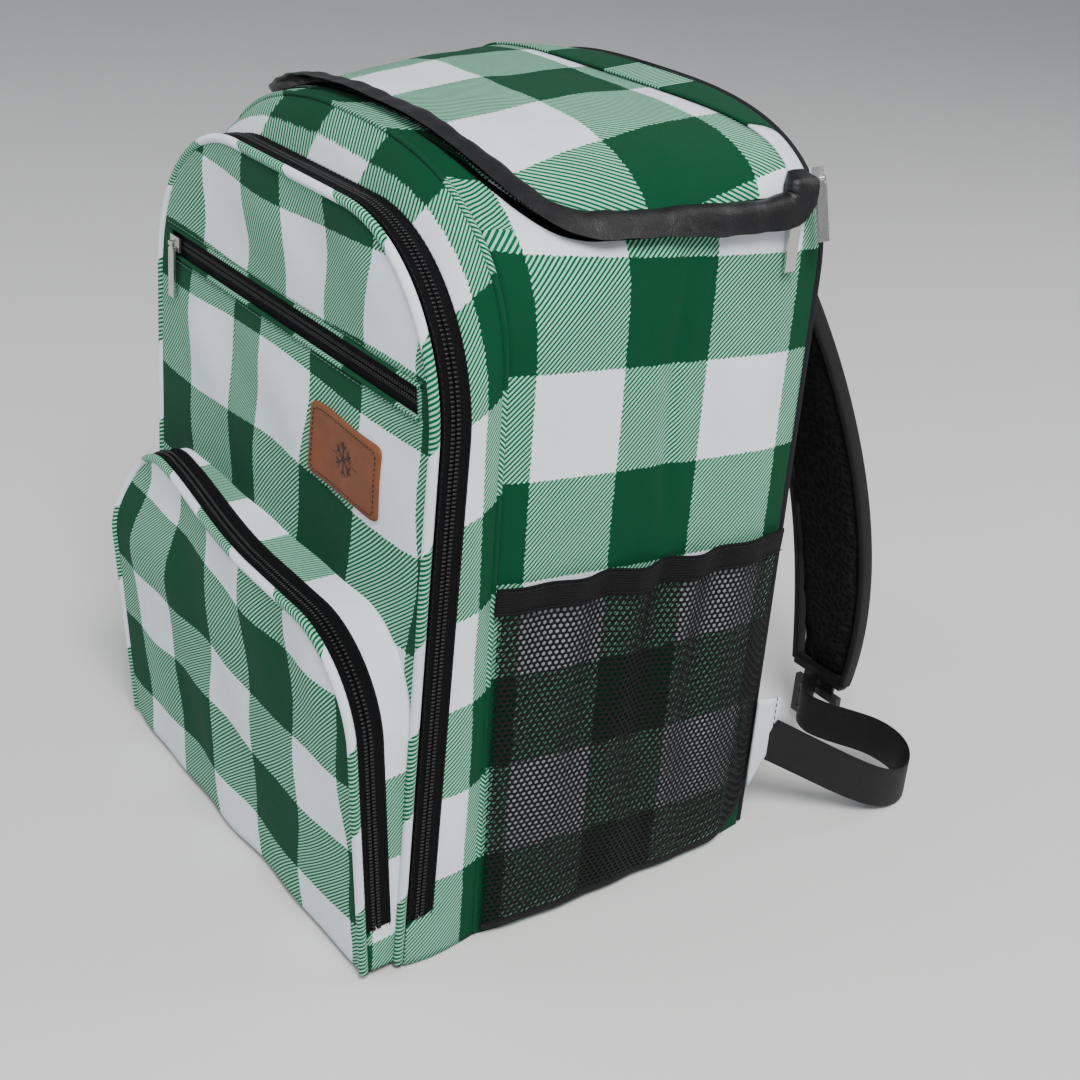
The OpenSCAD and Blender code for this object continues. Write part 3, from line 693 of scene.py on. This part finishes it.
ridge = np.stack([seam[:, 0], -90.2 + 0 * seam[:, 0], np.maximum(seam[:, 1], 1.8)], -1)
seam_way = unit(np.gradient(ridge, axis=0))
seam_out = np.stack([seam_way[:, 2], 0 * seam_way[:, 0], -seam_way[:, 0]], -1)
sweep("front_seam_ridge", ridge, seam_out, tube(1.5), check_cloth, "bag",
      chart=lambda s, a: (0.2 + a / 50, (s - 49) / 50 - 5))
black_thread, tree, shader = finish_of("black_thread", (0.010, 0.010, 0.011), 0.7, gloss=0.2)
relief(tree, shader, grain(tree, 4000, 2), 0.00006)


def zip_round(name, plane, shape, depth, fixed, moving, names):
    """A zip round an arch: two tapes and two coil rows, parted at depth behind the face."""
    line, way = arch(*shape, low=30.0, count=300)
    path = plane(line[:, 0], depth + 0 * line[:, 0], line[:, 1])
    ahead = plane(line[:, 0] + way[:, 0], depth + 0 * line[:, 0], line[:, 1] + way[:, 1])
    out = unit(ahead - path)
    sweep(name + "_tape_inner", path, out, flat_tape(0.2, 8.4), tape_cloth, fixed)
    sweep(name + "_tape_outer", path, out, flat_tape(-6.5, -0.2), tape_cloth, moving)
    coil(name + "_coil_inner", path, out, 1, fixed, (names[0],), lift=0.5)
    coil(name + "_coil_outer", path, out, -1, moving, (names[1],), lift=0.5)
    shift = lambda d: plane(line[:, 0], depth + d + 0 * line[:, 0], line[:, 1]) + out * 0.4
    stitches(name + "_stitch_inner", shift(7.4), out, fixed, black_thread)
    stitches(name + "_stitch_outer", shift(-5.6), out, moving, black_thread)


zip_round("door_zip", on_door, DOOR, 10.0, "bag", "door", ("zip_door_inner", "zip_door_outer"))

# ---- Front door ----
# The large flat panel of the front compartment, hinged along its foot. A slit pocket
# with its own zip crosses it, and piping of the same check goes round its edge.
upper_u = lambda x: np.interp(x, [-182, -135, -88, -41, 2, 44, 85, 130, 175], np.arange(-3, 6))
lower_u = lambda x: np.interp(x, [-194, -145, -96, -47, -20, 29, 78, 131, 180], np.arange(-3, 6))
door_v = lambda z: np.interp(z, [-18, 31, 80, 130, 179, 228, 278, 307, 350, 398], np.arange(-6, 4))
SLIT_Z = 297.0


def rows_of(shape, low, high, step=4.0):
    """Heights for a panel's rows, closer together round its top corners."""
    half, top, radius = shape
    straight = np.arange(low, min(high, top - radius), step)
    t = np.linspace(0, np.pi / 2, 26)
    curve = top - radius + radius * np.sin(t)
    return np.unique(np.round(np.r_[straight, curve[(curve > low) & (curve < high)], low, high], 3))


def half_at(shape, z):
    half, top, radius = shape
    rise = np.clip(z - (top - radius), 0, radius)
    return half - radius + np.sqrt(radius ** 2 - rise ** 2)


def swell_at(shape, x, z, seed, depth, bow):
    """How far a panel's cloth stands out at a point: a full middle with soft folds."""
    calm = np.clip(1 - (np.abs(x) / half_at(shape, z)) ** 6, 0, 1) * np.clip((shape[1] - z) / 25, 0, 1)
    calm = calm * np.clip((np.abs(z - SLIT_Z) - 7) / 28, 0, 1)
    return (folds(x, z * 0.7 + x * 0.2, 64, depth, seed) + bow) * calm


def panel(plane, shape, low, high, u_of, v_of, seed, depth, bow=2.0, left=-1.0, right=1.0, wave=0.05):
    """Part of an arched panel's face, softly waved, with its band chart."""
    grid, chart = [], []
    for z in rows_of(shape, low, high):
        x = half_at(shape, z) * np.linspace(left, right, 70 if right - left > 1 else 8)
        swell = swell_at(shape, x, z + 0 * x, seed, depth, bow)
        grid.append(plane(x, -swell, z + 0 * x))
        bend = wave * np.sin(z / 27 + x / 45) + wave * 0.6 * np.sin(z / 11 - x / 60)
        chart.append(np.stack([u_of(x) + bend, v_of(z + 0 * x) + 0.05 * np.sin(x / 34 + seed)], 1))
    return np.array(grid)[::-1], np.array(chart)[::-1]


LOW_LIP, HIGH_LIP, SLIT = 290.0, 304.0, 126.0
reach = SLIT / 140
parts = [panel(on_door, DOOR, 4, LOW_LIP, lower_u, door_v, 5, 3.0),
         panel(on_door, DOOR, HIGH_LIP, 366, upper_u, door_v, 8, 3.4, wave=0.12),
         panel(on_door, DOOR, LOW_LIP, HIGH_LIP, upper_u, door_v, 8, 0, right=-reach, bow=0),
         panel(on_door, DOOR, LOW_LIP, HIGH_LIP, upper_u, door_v, 8, 0, left=reach, bow=0)]
skin("door_cloth", [p[0] for p in parts], check_cloth, "door", 2.4,
     charts=[p[1] for p in parts], stands_for=("door_panel",))


def lining(name, plane, shape, depth, body):
    """Dark taffeta laid flat behind a panel, a little inside its edge."""
    inner_shape = (shape[0] - 3, shape[1] - 3, shape[2] - 3)
    flat, _ = panel(lambda x, y, z: plane(x, depth + 0 * y, z), inner_shape, 6, shape[1] - 3,
                    lower_u, door_v, 5, 0, bow=0)
    skin(name, [flat[::-1]], lining_cloth, body, 0.4)


lining("door_lining", on_door, DOOR, 2.7, "door")


def piping(name, plane, shape, body, stands_for, low):
    line, way = arch(*shape, low=low, inset=1.2, count=300)
    path = plane(line[:, 0], 0.6 + 0 * line[:, 0], line[:, 1])
    out = plane(line[:, 0] + way[:, 0], 0.6 + 0 * line[:, 0], line[:, 1] + way[:, 1]) - path
    sweep(name, path, out, tube(2.4), check_cloth, body, stands_for,
          chart=lambda s, a: (s / 47.0 + a / 40, 1.5 + a / 60))


piping("door_edge_piping", on_door, DOOR, "door", ("door_piping",), 4.0)

green_thread, tree, shader = finish_of("green_thread", (0.02, 0.11, 0.06), 0.6, sheen=0.2)
relief(tree, shader, grain(tree, 4000, 2), 0.00006)
slit_line = np.stack([np.linspace(-SLIT, SLIT, 120), 0 * np.linspace(0, 1, 120) + SLIT_Z], 1)
slit_path = on_door(slit_line[:, 0], 1.8 + 0 * slit_line[:, 0], slit_line[:, 1])
face_out = on_door(slit_line[:, 0], 0.8 + 0 * slit_line[:, 0], slit_line[:, 1]) - slit_path
sweep("slit_tape_upper", slit_path, face_out, flat_tape(-8.5, -0.2), tape_cloth, "door")
sweep("slit_tape_lower", slit_path, face_out, flat_tape(0.2, 8.5), tape_cloth, "door")
coil("slit_coil_upper", slit_path, face_out, -1, "door", ("slit_zip",), lift=0.3)
coil("slit_coil_lower", slit_path, face_out, 1, "door", (), lift=0.3)
for tag, z in (("lower", LOW_LIP - 2.5), ("upper", HIGH_LIP + 2.5)):
    x = np.linspace(-SLIT - 1, SLIT + 1, 90)
    thread_row = on_door(x, -0.5 + 0 * x, z + 0 * x)
    stitches("slit_topstitch_" + tag, thread_row, face_out[:90], "door", green_thread)
    lip = on_door(x, 0.2 + 0 * x, (z + (2.2 if z < SLIT_Z else -2.2)) + 0 * x)
    sweep("slit_lip_" + tag, lip, face_out[0], tube(1.1), check_cloth, "door",
          chart=lambda s, a: (s / 47.0, door_v(SLIT_Z) + a / 60))

# ---- Patch ----
# A small tan leather badge with a plain snowflake pressed into it. It lies on the
# door's cloth and is sewn down round its edge.
leather, tree, shader = finish_of("patch_leather", (0.17, 0.055, 0.019), 0.55, gloss=0.3)
shade = calc(tree, "MULTIPLY_ADD", grain(tree, 110, 5), 0.5, 0.72)
tan = colour_mix(tree, 1.0, (0.18, 0.056, 0.019), even_grey(tree, shade), "MULTIPLY")
tree.links.new(tan, shader.inputs["Base Color"])
relief(tree, shader, grain(tree, 1300, 4), 0.00025)
dark_press, tree, shader = finish_of("pressed_leather", (0.018, 0.008, 0.005), 0.7)
relief(tree, shader, grain(tree, 1500, 3), 0.0001)
PATCH_X, PATCH_Z, LEATHER = 69.0, 248.0, 1.6


def on_badge(x, z, above):
    """A point that height above the door's cloth, where the badge lies on it."""
    return on_door(x, -swell_at(DOOR, x, z, 5, 3.0, 2.0) - above, z)


def badge_ring(scale_in, out):
    t = np.linspace(0, 2 * np.pi, 96, endpoint=True)
    bend = lambda c: np.sign(c) * np.abs(c) ** (2 / 12)
    x = PATCH_X + (33 - scale_in) * bend(np.cos(t))
    z = PATCH_Z + (18.5 - scale_in) * bend(np.sin(t))
    return on_badge(x, z, out)


rings = [badge_ring(0.0, -0.6), badge_ring(0.0, LEATHER - 0.5)]
rings += [badge_ring(inset, LEATHER) for inset in (0.6, 3, 6, 9, 12, 15, 18.4)]
skin("patch_badge", [np.array(rings)], leather, "door", 0, stands_for=("patch",))
edge = badge_ring(2.6, LEATHER + 0.1)
stitches("patch_stitches", edge, (0, -1, 0.04), "door", dark_press,
         length=1.7, pitch=2.6, fat=0.22)
for k in range(6):
    turn = np.radians(60 * k + 30)
    aim, side = np.array([np.cos(turn), np.sin(turn)]), np.array([-np.sin(turn), np.cos(turn)])
    for tag, (a, b) in enumerate((((0, 0), (9, 0)), ((5.0, 0), (7.6, 2.6)), ((5.0, 0), (7.6, -2.6)))):
        tips = [aim * p[0] + side * p[1] for p in (a, b)]
        run = np.linspace(0, 1, 6)[:, None] * (tips[1] - tips[0]) + tips[0]
        path = on_badge(PATCH_X + run[:, 0], PATCH_Z + run[:, 1], LEATHER + 0.05)
        sweep(f"patch_flake_{k}_{tag}", path, (0, -1, 0.04), rounded(1.0, 0.3, -0.1, 3, 10),
              dark_press, "door")

# ---- Lower front pocket ----
# A shallow zipped pocket on the door. Its flap hinges along its foot; a narrow gusset
# of check joins it to the door.
FLAP, TILT = (138.0, 187.0, 50.0), np.radians(5.5)


def ease(share):
    share = np.clip(share, 0, 1)
    return share * share * (3 - 2 * share)


def on_flap(x, y, z):
    """A point given in the flap's plane; its upper left corner slumps towards the door."""
    slump = 14 * ease((40 - x) / 150) * ease((z - 125) / 50)
    return on_door(x, slump - 18 + y * np.cos(TILT) - z * np.sin(TILT), y * np.sin(TILT) + z * np.cos(TILT))


ring, ring_way = arch(*FLAP, low=4.0)
grid, chart = [], []
for share in np.linspace(0, 1, 12):
    zipped = 1 / (1 + np.exp(-(ring[:, 1] - 30) / 1.5))
    near = on_flap(ring[:, 0], 2.8 + 10.6 * zipped, ring[:, 1])
    up = near[:, 2] / np.cos(LEAN)
    far = on_door(ring[:, 0] * 0.995, -0.3 + 0 * up, np.maximum(up, 4))
    row = near + (far - near) * share
    row[:, 2] = np.maximum(row[:, 2], 2.5)
    grid.append(row)
    chart.append(np.stack([row[:, 1] / 50, row[:, 2] / 47.5 - 0.4 + row[:, 0] / 47], 1))
skin("pocket_gusset_cloth", [np.array(grid)], check_cloth, "door",
     charts=[np.array(chart)], stands_for=("pocket_gusset",), backing=lining_cloth)
zip_round("pocket_zip", on_flap, FLAP, 8.0, "door", "flap", ("zip_pocket_inner", "zip_pocket_outer"))
flap_u = lambda x: np.interp(x, [-155, -108, -61, -14, 33, 80, 127, 174], np.arange(-4, 4))
flap_v = lambda z: np.interp(z, [-12, 32, 77, 115, 162, 209], np.arange(-3, 3))
part = panel(on_flap, FLAP, 4, 187, flap_u, flap_v, 12, 3.0, wave=0.06)
skin("flap_cloth", [part[0]], check_cloth, "flap", 2.0, charts=[part[1]],
     stands_for=("flap_panel",))
lining("flap_lining", on_flap, FLAP, 2.3, "flap")
piping("flap_edge_piping", on_flap, FLAP, "flap", ("flap_piping",), 4.0)

# ---- Base ----
# The bottom of the main compartment is a flat sheet of the same check fabric under a
# stiff board, sewn to the walls along its edges.
grid = np.array([[(x * section(y)[0, 0], y, 0.2) for x in np.linspace(-1, 1, 41)] for y in depths])
chart = grid[..., :2] / 50.0
skin("base_cloth", [grid[::-1]], check_cloth, "bag", 0, charts=[chart[::-1]],
     stands_for=("base_panel",))

# ---- Side pockets ----
# Open net of black yarn, gathered at the top into a band of ribbed elastic and sewn
# down along the other three edges.
net_yarn, tree, shader = finish_of("net_yarn", (0.0035, 0.0035, 0.004), 0.6, gloss=0.18)
relief(tree, shader, grain(tree, 3000, 2), 0.0001)
elastic_rib, tree, shader = finish_of("elastic_rib", (0.005, 0.005, 0.006), 0.7, gloss=0.18)
rib = calc(tree, "SINE", calc(tree, "MULTIPLY", band_chart(tree)[1], 4.6))
relief(tree, shader, calc(tree, "MULTIPLY_ADD", rib, 0.9, grain(tree, 1200, 2)), 0.0005)
NET_LONG, NET_HIGH = 177.0, 192.0
net_top = lambda y: 197.0 + (y + 91) / 176.0 * -12.0
net_foot = lambda y: 6.0 + 30 - np.sqrt(np.clip(30 ** 2 - np.clip(y - 57, 0, 29.9) ** 2, 0, None))


def net_point(s, t):
    """The pocket's surface from front to back (s) and foot to top (t), in mm."""
    y = -88.5 + 176.5 * s
    z = net_foot(y) + (net_top(y) - net_foot(y)) * t
    half = np.interp(y, key_depths, [137, 139, 140, 139.5, 136])
    belly = 6.5 * np.sin(np.pi * s) ** 0.6 * (0.45 + 0.55 * np.sin(np.pi * np.clip(t, 0, 1) ** 0.8))
    held = np.sin(np.pi * s) * np.sin(np.pi * s) ** 0.5
    gather = 2.3 * np.sin(s * 31 + 2.2 * np.sin(t * 3)) * (0.25 + t) * held
    slump = 1.2 * np.sin(t * 17 + s * 9) * (1 - t) * np.sin(np.pi * s)
    return np.stack([half + 2.6 + belly + gather + slump, y, z], -1)


for side, tag in ((1, "right"), (-1, "left")):
    verts, faces = [], []
    pitch, count = 3.3, 0
    across_n, up_n = int(NET_LONG / pitch), int(NET_HIGH / (pitch * 0.86))
    angle = np.radians(60 * np.arange(6) + 30)
    for i in range(across_n):
        for j in range(up_n):
            s0 = (i + 0.5 + 0.5 * (j % 2)) * pitch / NET_LONG
            t0 = (j + 0.5) * pitch * 0.86 / NET_HIGH
            if s0 > 0.995:
                continue
            for radius in (0.577, 0.36):
                s = np.clip(s0 + np.cos(angle) * pitch * radius / NET_LONG, 0, 1)
                t = np.clip(t0 + np.sin(angle) * pitch * radius / NET_HIGH, 0, 1)
                verts.append(net_point(s, t) * [side, 1, 1])
            for k in range(6):
                l = (k + 1) % 6
                quad = (count + k, count + l, count + 6 + l, count + 6 + k)
                faces.append(quad if side > 0 else quad[::-1])
            count += 12
    net = made_of("mesh_net_" + tag, np.concatenate(verts), faces, turn_out=False)
    mesh = net.data
    work = bmesh.new()
    work.from_mesh(mesh)
    bmesh.ops.remove_doubles(work, verts=work.verts, dist=0.00012)
    work.to_mesh(mesh)
    work.free()
    solid = net.modifiers.new("thickness", "SOLIDIFY")
    solid.thickness, solid.offset = 0.5 * MM, 0
    settle(net)
    dress(net, net_yarn, "bag", ("mesh_pocket_" + tag,))
    s = np.linspace(0, 1, 120)
    band = net_point(s, 1.0 + 0 * s) + [0.3, 0, 0]
    band[:, 1] = -90.5 + 179.5 * s
    sweep("elastic_band_" + tag, band * [side, 1, 1], (side, 0, 0), rounded(14, 1.7, -0.6, 6, 24),
          elastic_rib, "bag", ("elastic_" + tag,))
    for row in (-5.4, 5.4):
        place = "low" if row < 0 else "top"
        stitches(f"elastic_stitch_{tag}_{place}", (band + [1.15, 0, row]) * [side, 1, 1],
                 (side, 0, 0), "bag", black_thread)
    hem = net_point(s, 0 * s)
    sweep("net_hem_" + tag, hem * [side, 1, 1], (side, 0, 0), rounded(3.4, 1.2, -0.8, 4, 12),
          lining_cloth, "bag")

# ---- Back pad and edge piping ----
# Foam under air mesh lies against the wearer's back. Black piping is sewn into the
# seam round its edge.
air_mesh, tree, shader = finish_of("air_mesh", (0.006, 0.006, 0.007), 0.85, gloss=0.12)
cells = tree.nodes.new("ShaderNodeTexVoronoi")
cells.inputs["Scale"].default_value = 330
tree.links.new(place_of(tree), cells.inputs["Vector"])
relief(tree, shader, cells.outputs["Distance"], 0.0011)
# Painted shade: the colour goes darker towards each cell's middle, where the relief sinks into the mesh's
# hollows.
tree.links.new(colour_mix(tree, calc(tree, "MULTIPLY", cells.outputs["Distance"], 1.3), (0.004, 0.004, 0.005),
                          (0.014, 0.0145, 0.016)), shader.inputs["Base Color"])


def fill_out(made, voxel, cap):
    """Puffs a closed piece with a short cloth run, holding each point within cap mm."""
    remesh = made.modifiers.new("even", "REMESH")
    remesh.mode, remesh.voxel_size = "VOXEL", voxel * MM
    settle(made)
    start = np.empty(len(made.data.vertices) * 3)
    made.data.vertices.foreach_get("co", start)
    cloth = made.modifiers.new("fill", "CLOTH")
    cloth.settings.use_pressure = True
    cloth.settings.uniform_pressure_force = 4
    cloth.settings.effector_weights.gravity = 0
    scene = bpy.context.scene
    for step in range(1, 21):
        scene.frame_set(step)
    settle(made)
    scene.frame_set(1)
    final = np.empty(len(made.data.vertices) * 3)
    made.data.vertices.foreach_get("co", final)
    move = (final - start).reshape(-1, 3)
    distance = np.linalg.norm(move, axis=1, keepdims=True)
    move *= np.minimum(1, cap * MM / np.maximum(distance, 1e-9))
    made.data.vertices.foreach_set("co", (start.reshape(-1, 3) + move).ravel())
    smooth = made.modifiers.new("smooth", "SUBSURF")
    smooth.levels = smooth.render_levels = 1
    settle(made)
    for face in made.data.polygons:
        face.use_smooth = True


half = section(90.0, 5.5)
points, _ = spaced(half, 90)
points[:, 1] = np.maximum(points[:, 1], 7)
grid = np.array([[(p[0] * a, 96.0, p[1]) for a in np.linspace(-1, 1, 61)] for p in points])
back_cushion = skin("back_cushion", [grid], air_mesh, "bag", 5.0, stands_for=("back_pad",))
fill_out(back_cushion, 5, 3.0)
rim = section(90.0, 1.5)
rim, _ = spaced(np.concatenate([rim, rim[-2::-1] * [-1, 1]]), 260)
way = unit(np.gradient(rim, axis=0))
path = np.stack([rim[:, 0], 91.6 + 0 * rim[:, 0], np.maximum(rim[:, 1], 2.6)], 1)
sweep("back_edge_piping", path, np.stack([way[:, 1], 0 * way[:, 0], -way[:, 0]], 1), tube(2.3), lining_cloth,
      "bag", ("back_piping",))

# ---- Shoulder straps ----
# Two foam pads faced with air mesh and bound at the edges. They hang from a padded
# yoke, and webbing joins their lower ends to the bag's bottom corners.
webbing_yarn, tree, shader = finish_of("webbing_yarn", (0.007, 0.007, 0.008), 0.5, gloss=0.3)
ribs = [calc(tree, "SINE", calc(tree, "MULTIPLY", way, 5.2)) for way in band_chart(tree)]
relief(tree, shader, calc(tree, "MULTIPLY", *ribs), 0.0004)
ends_arc = [np.array(p, float) for p in ((103.3, 335), (177.15, 195), (195, 45))]
(a0, a1), (b0, b1), (c0, c1) = ends_arc
mid_matrix = 2 * np.array([[b0 - a0, b1 - a1], [c0 - a0, c1 - a1]])
squares = [p @ p - ends_arc[0] @ ends_arc[0] for p in ends_arc[1:]]
hub = np.linalg.solve(mid_matrix, squares)
bend_r = np.linalg.norm(hub - ends_arc[0])
angles = np.linspace(*[np.arctan2(p[1] - hub[1], p[0] - hub[0]) for p in (ends_arc[0], ends_arc[2])], 90)
loop_points = np.array([(141, 98, 60), (150, 120, 46), (161, 145, 30), (170, 168, 17), (172, 185, 13.4),
                        (166, 198, 14), (152, 203, 19), (138, 195, 26), (124, 176, 32), (110, 162, 36),
                        (98, 166, 37), (90, 180, 35), (88, 191.5, 32)], float)
white_tab, tree, shader = finish_of("white_tab", (0.70, 0.74, 0.80), 0.75, sheen=0.15)
relief(tree, shader, grain(tree, 1500, 3), 0.0002)
for side, tag in ((1, "right"), (-1, "left")):
    share = (335 - (hub[1] + bend_r * np.sin(angles))) / 290
    centre_x = 66 + 22 * (1 - np.cos(np.pi * share)) / 2
    path = np.stack([side * centre_x, hub[0] + bend_r * np.cos(angles), hub[1] + bend_r * np.sin(angles)], 1)
    out = np.stack([0 * angles, np.cos(angles), np.sin(angles)], 1)
    narrow = 1 - 0.3 * np.clip(share, 0, 1) ** 6
    pad = sweep("shoulder_pad_" + tag, path, out, rounded(57, 7.0, -3.5, 4, 28), air_mesh, "bag",
                ("strap_pad_" + tag,), taper=narrow)
    fill_out(pad, 4.5, 2.0)
    way = unit(np.gradient(path, axis=0))
    across = unit(np.cross(way, out))
    for edge_tag, hand in (("inner", -1), ("outer", 1)):
        border = path + across * hand * (28.6 * narrow)[:, None]
        sweep(f"shoulder_binding_{tag}_{edge_tag}", border, out, rounded(4.2, 8.6, -4.3, 4, 16),
              webbing_yarn, "bag")
        seam_row = path + across * hand * (24.5 * narrow)[:, None] + out * 4.6
        stitches(f"shoulder_stitch_{tag}_{edge_tag}", seam_row, out, "bag", black_thread)
    foot = path[-1] - [0, 0, 0.5]
    ends_line = np.linspace(-27.5, 27.5, 20)[:, None] * narrow[-1] * across[-1] + foot
    sweep("shoulder_end_binding_" + tag, ends_line, out[-1], rounded(7.0, 8.6, -4.3, 4, 16),
          webbing_yarn, "bag")
    anchor = np.array([(88, 194.8, 33), (88, 196.2, 41), (88, 200.2, 47), (88, 201.0, 60),
                       (88, 200.2, 78)], float)
    anchor = spaced(anchor, 40)[0] * [side, 1, 1]
    sweep("strap_anchor_" + tag, anchor, (0, 1, 0.1), rounded(25, 1.6, -0.8, 8, 20),
          webbing_yarn, "bag")
    knots = np.r_[0, np.cumsum(np.linalg.norm(np.diff(loop_points, axis=0), axis=1))]
    fine = np.linspace(0, knots[-1], 220)
    strap = np.stack([np.interp(fine, knots, loop_points[:, k]) for k in range(3)], 1)
    for _ in range(120):
        strap[1:-1] = (strap[:-2] + 2 * strap[1:-1] + strap[2:]) / 4
    strap *= [side, 1, 1]
    way = unit(np.gradient(strap, axis=0))
    facing = unit(np.cross(way, [0, 0, 1]))
    sweep("webbing_strap_" + tag, strap, facing, rounded(25, 1.6, -0.8, 8, 20), webbing_yarn, "bag",
          ("webbing_" + tag,))
    corners = [np.array(p, float) for p in ((88.5, 30), (105, 58), (105, 84), (88.5, 88))]
    grid = []
    for a in np.linspace(0, 1, 10):
        low, high = (1 - a) * corners[0] + a * corners[1], (1 - a) * corners[3] + a * corners[2]
        x = side * (141.9 + 0.5 * np.sin(a * 3))
        grid.append([(x, *((1 - b) * low + b * high)) for b in np.linspace(0, 1, 14)])
    grid = np.array(grid)
    skin("corner_gusset_" + tag, [grid if side > 0 else grid[::-1]], white_tab, "bag", 1.8,
         stands_for=("corner_tab_" + tag,))
    stitches("corner_stitch_" + tag, grid[7] + [side * 0.3, 0, 0], (side, 0, 0), "bag", black_thread)

bar = np.linspace((-97, 103, 343.3), (97, 103, 343.3), 60)
sweep("strap_yoke_pad", bar, (0, 1, 0), rounded(15.6, 9.0, -4.5, 4, 24), webbing_yarn, "bag",
      ("strap_yoke",))
for row in (-5.5, 5.5):
    stitches("yoke_stitch_" + ("low" if row < 0 else "top"), bar[3:-3] + [0, 4.6, row], (0, 1, 0),
             "bag", black_thread)
span = np.arccos((98.0 - 68) / 58.5)
turn = np.linspace(-span, span, 80)
grip = np.stack([58.5 * np.sin(turn), 68 + 58.5 * np.cos(turn), 365.5 + 0 * turn], 1)
grip_out = np.stack([np.sin(turn), np.cos(turn), 0 * turn], 1)
sweep("haul_handle_web", grip, grip_out, rounded(25, 2.6, -1.3, 6, 20),
      webbing_yarn, "bag", ("haul_handle",))

# ---- Hardware kept from the frame ----
# Cast zip sliders and stamped pullers, moulded strap adjusters, and the strips inside
# the front compartment keep their measured shapes and take their finishes here.
zip_steel, tree, shader = finish_of("zip_steel", (0.62, 0.61, 0.59), 0.26, metal=1.0)
tree.links.new(calc(tree, "MULTIPLY_ADD", grain(tree, 160, 4), 0.22, 0.16), shader.inputs["Roughness"])
relief(tree, shader, grain(tree, 900, 4), 0.00002)
moulded, tree, shader = finish_of("moulded_black", (0.014, 0.014, 0.016), 0.42)
relief(tree, shader, grain(tree, 2200, 3), 0.00008)
kept = {f"{zip_name}_{part}": (zip_steel, "zip_metal", 0.22)
        for zip_name in ("lid", "rear", "slit", "door", "pocket") for part in ("slider", "puller")}
kept.update({"ladder_lock_" + tag: (moulded, "black_plastic", 0.4) for tag in ("right", "left")})
kept.update({"hinge_strip": (tape_cloth, "black_binding", 0),
             "slit_pouch": (lining_cloth, "pouch_fabric", 0)})
for name, (material, slot, round_off) in kept.items():
    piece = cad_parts[name]
    piece.data.materials.clear()
    piece.data.materials.append(material)
    if round_off:
        soften = piece.modifiers.new("rounded", "BEVEL")
        soften.width, soften.segments, soften.limit_method = round_off * MM, 3, "ANGLE"
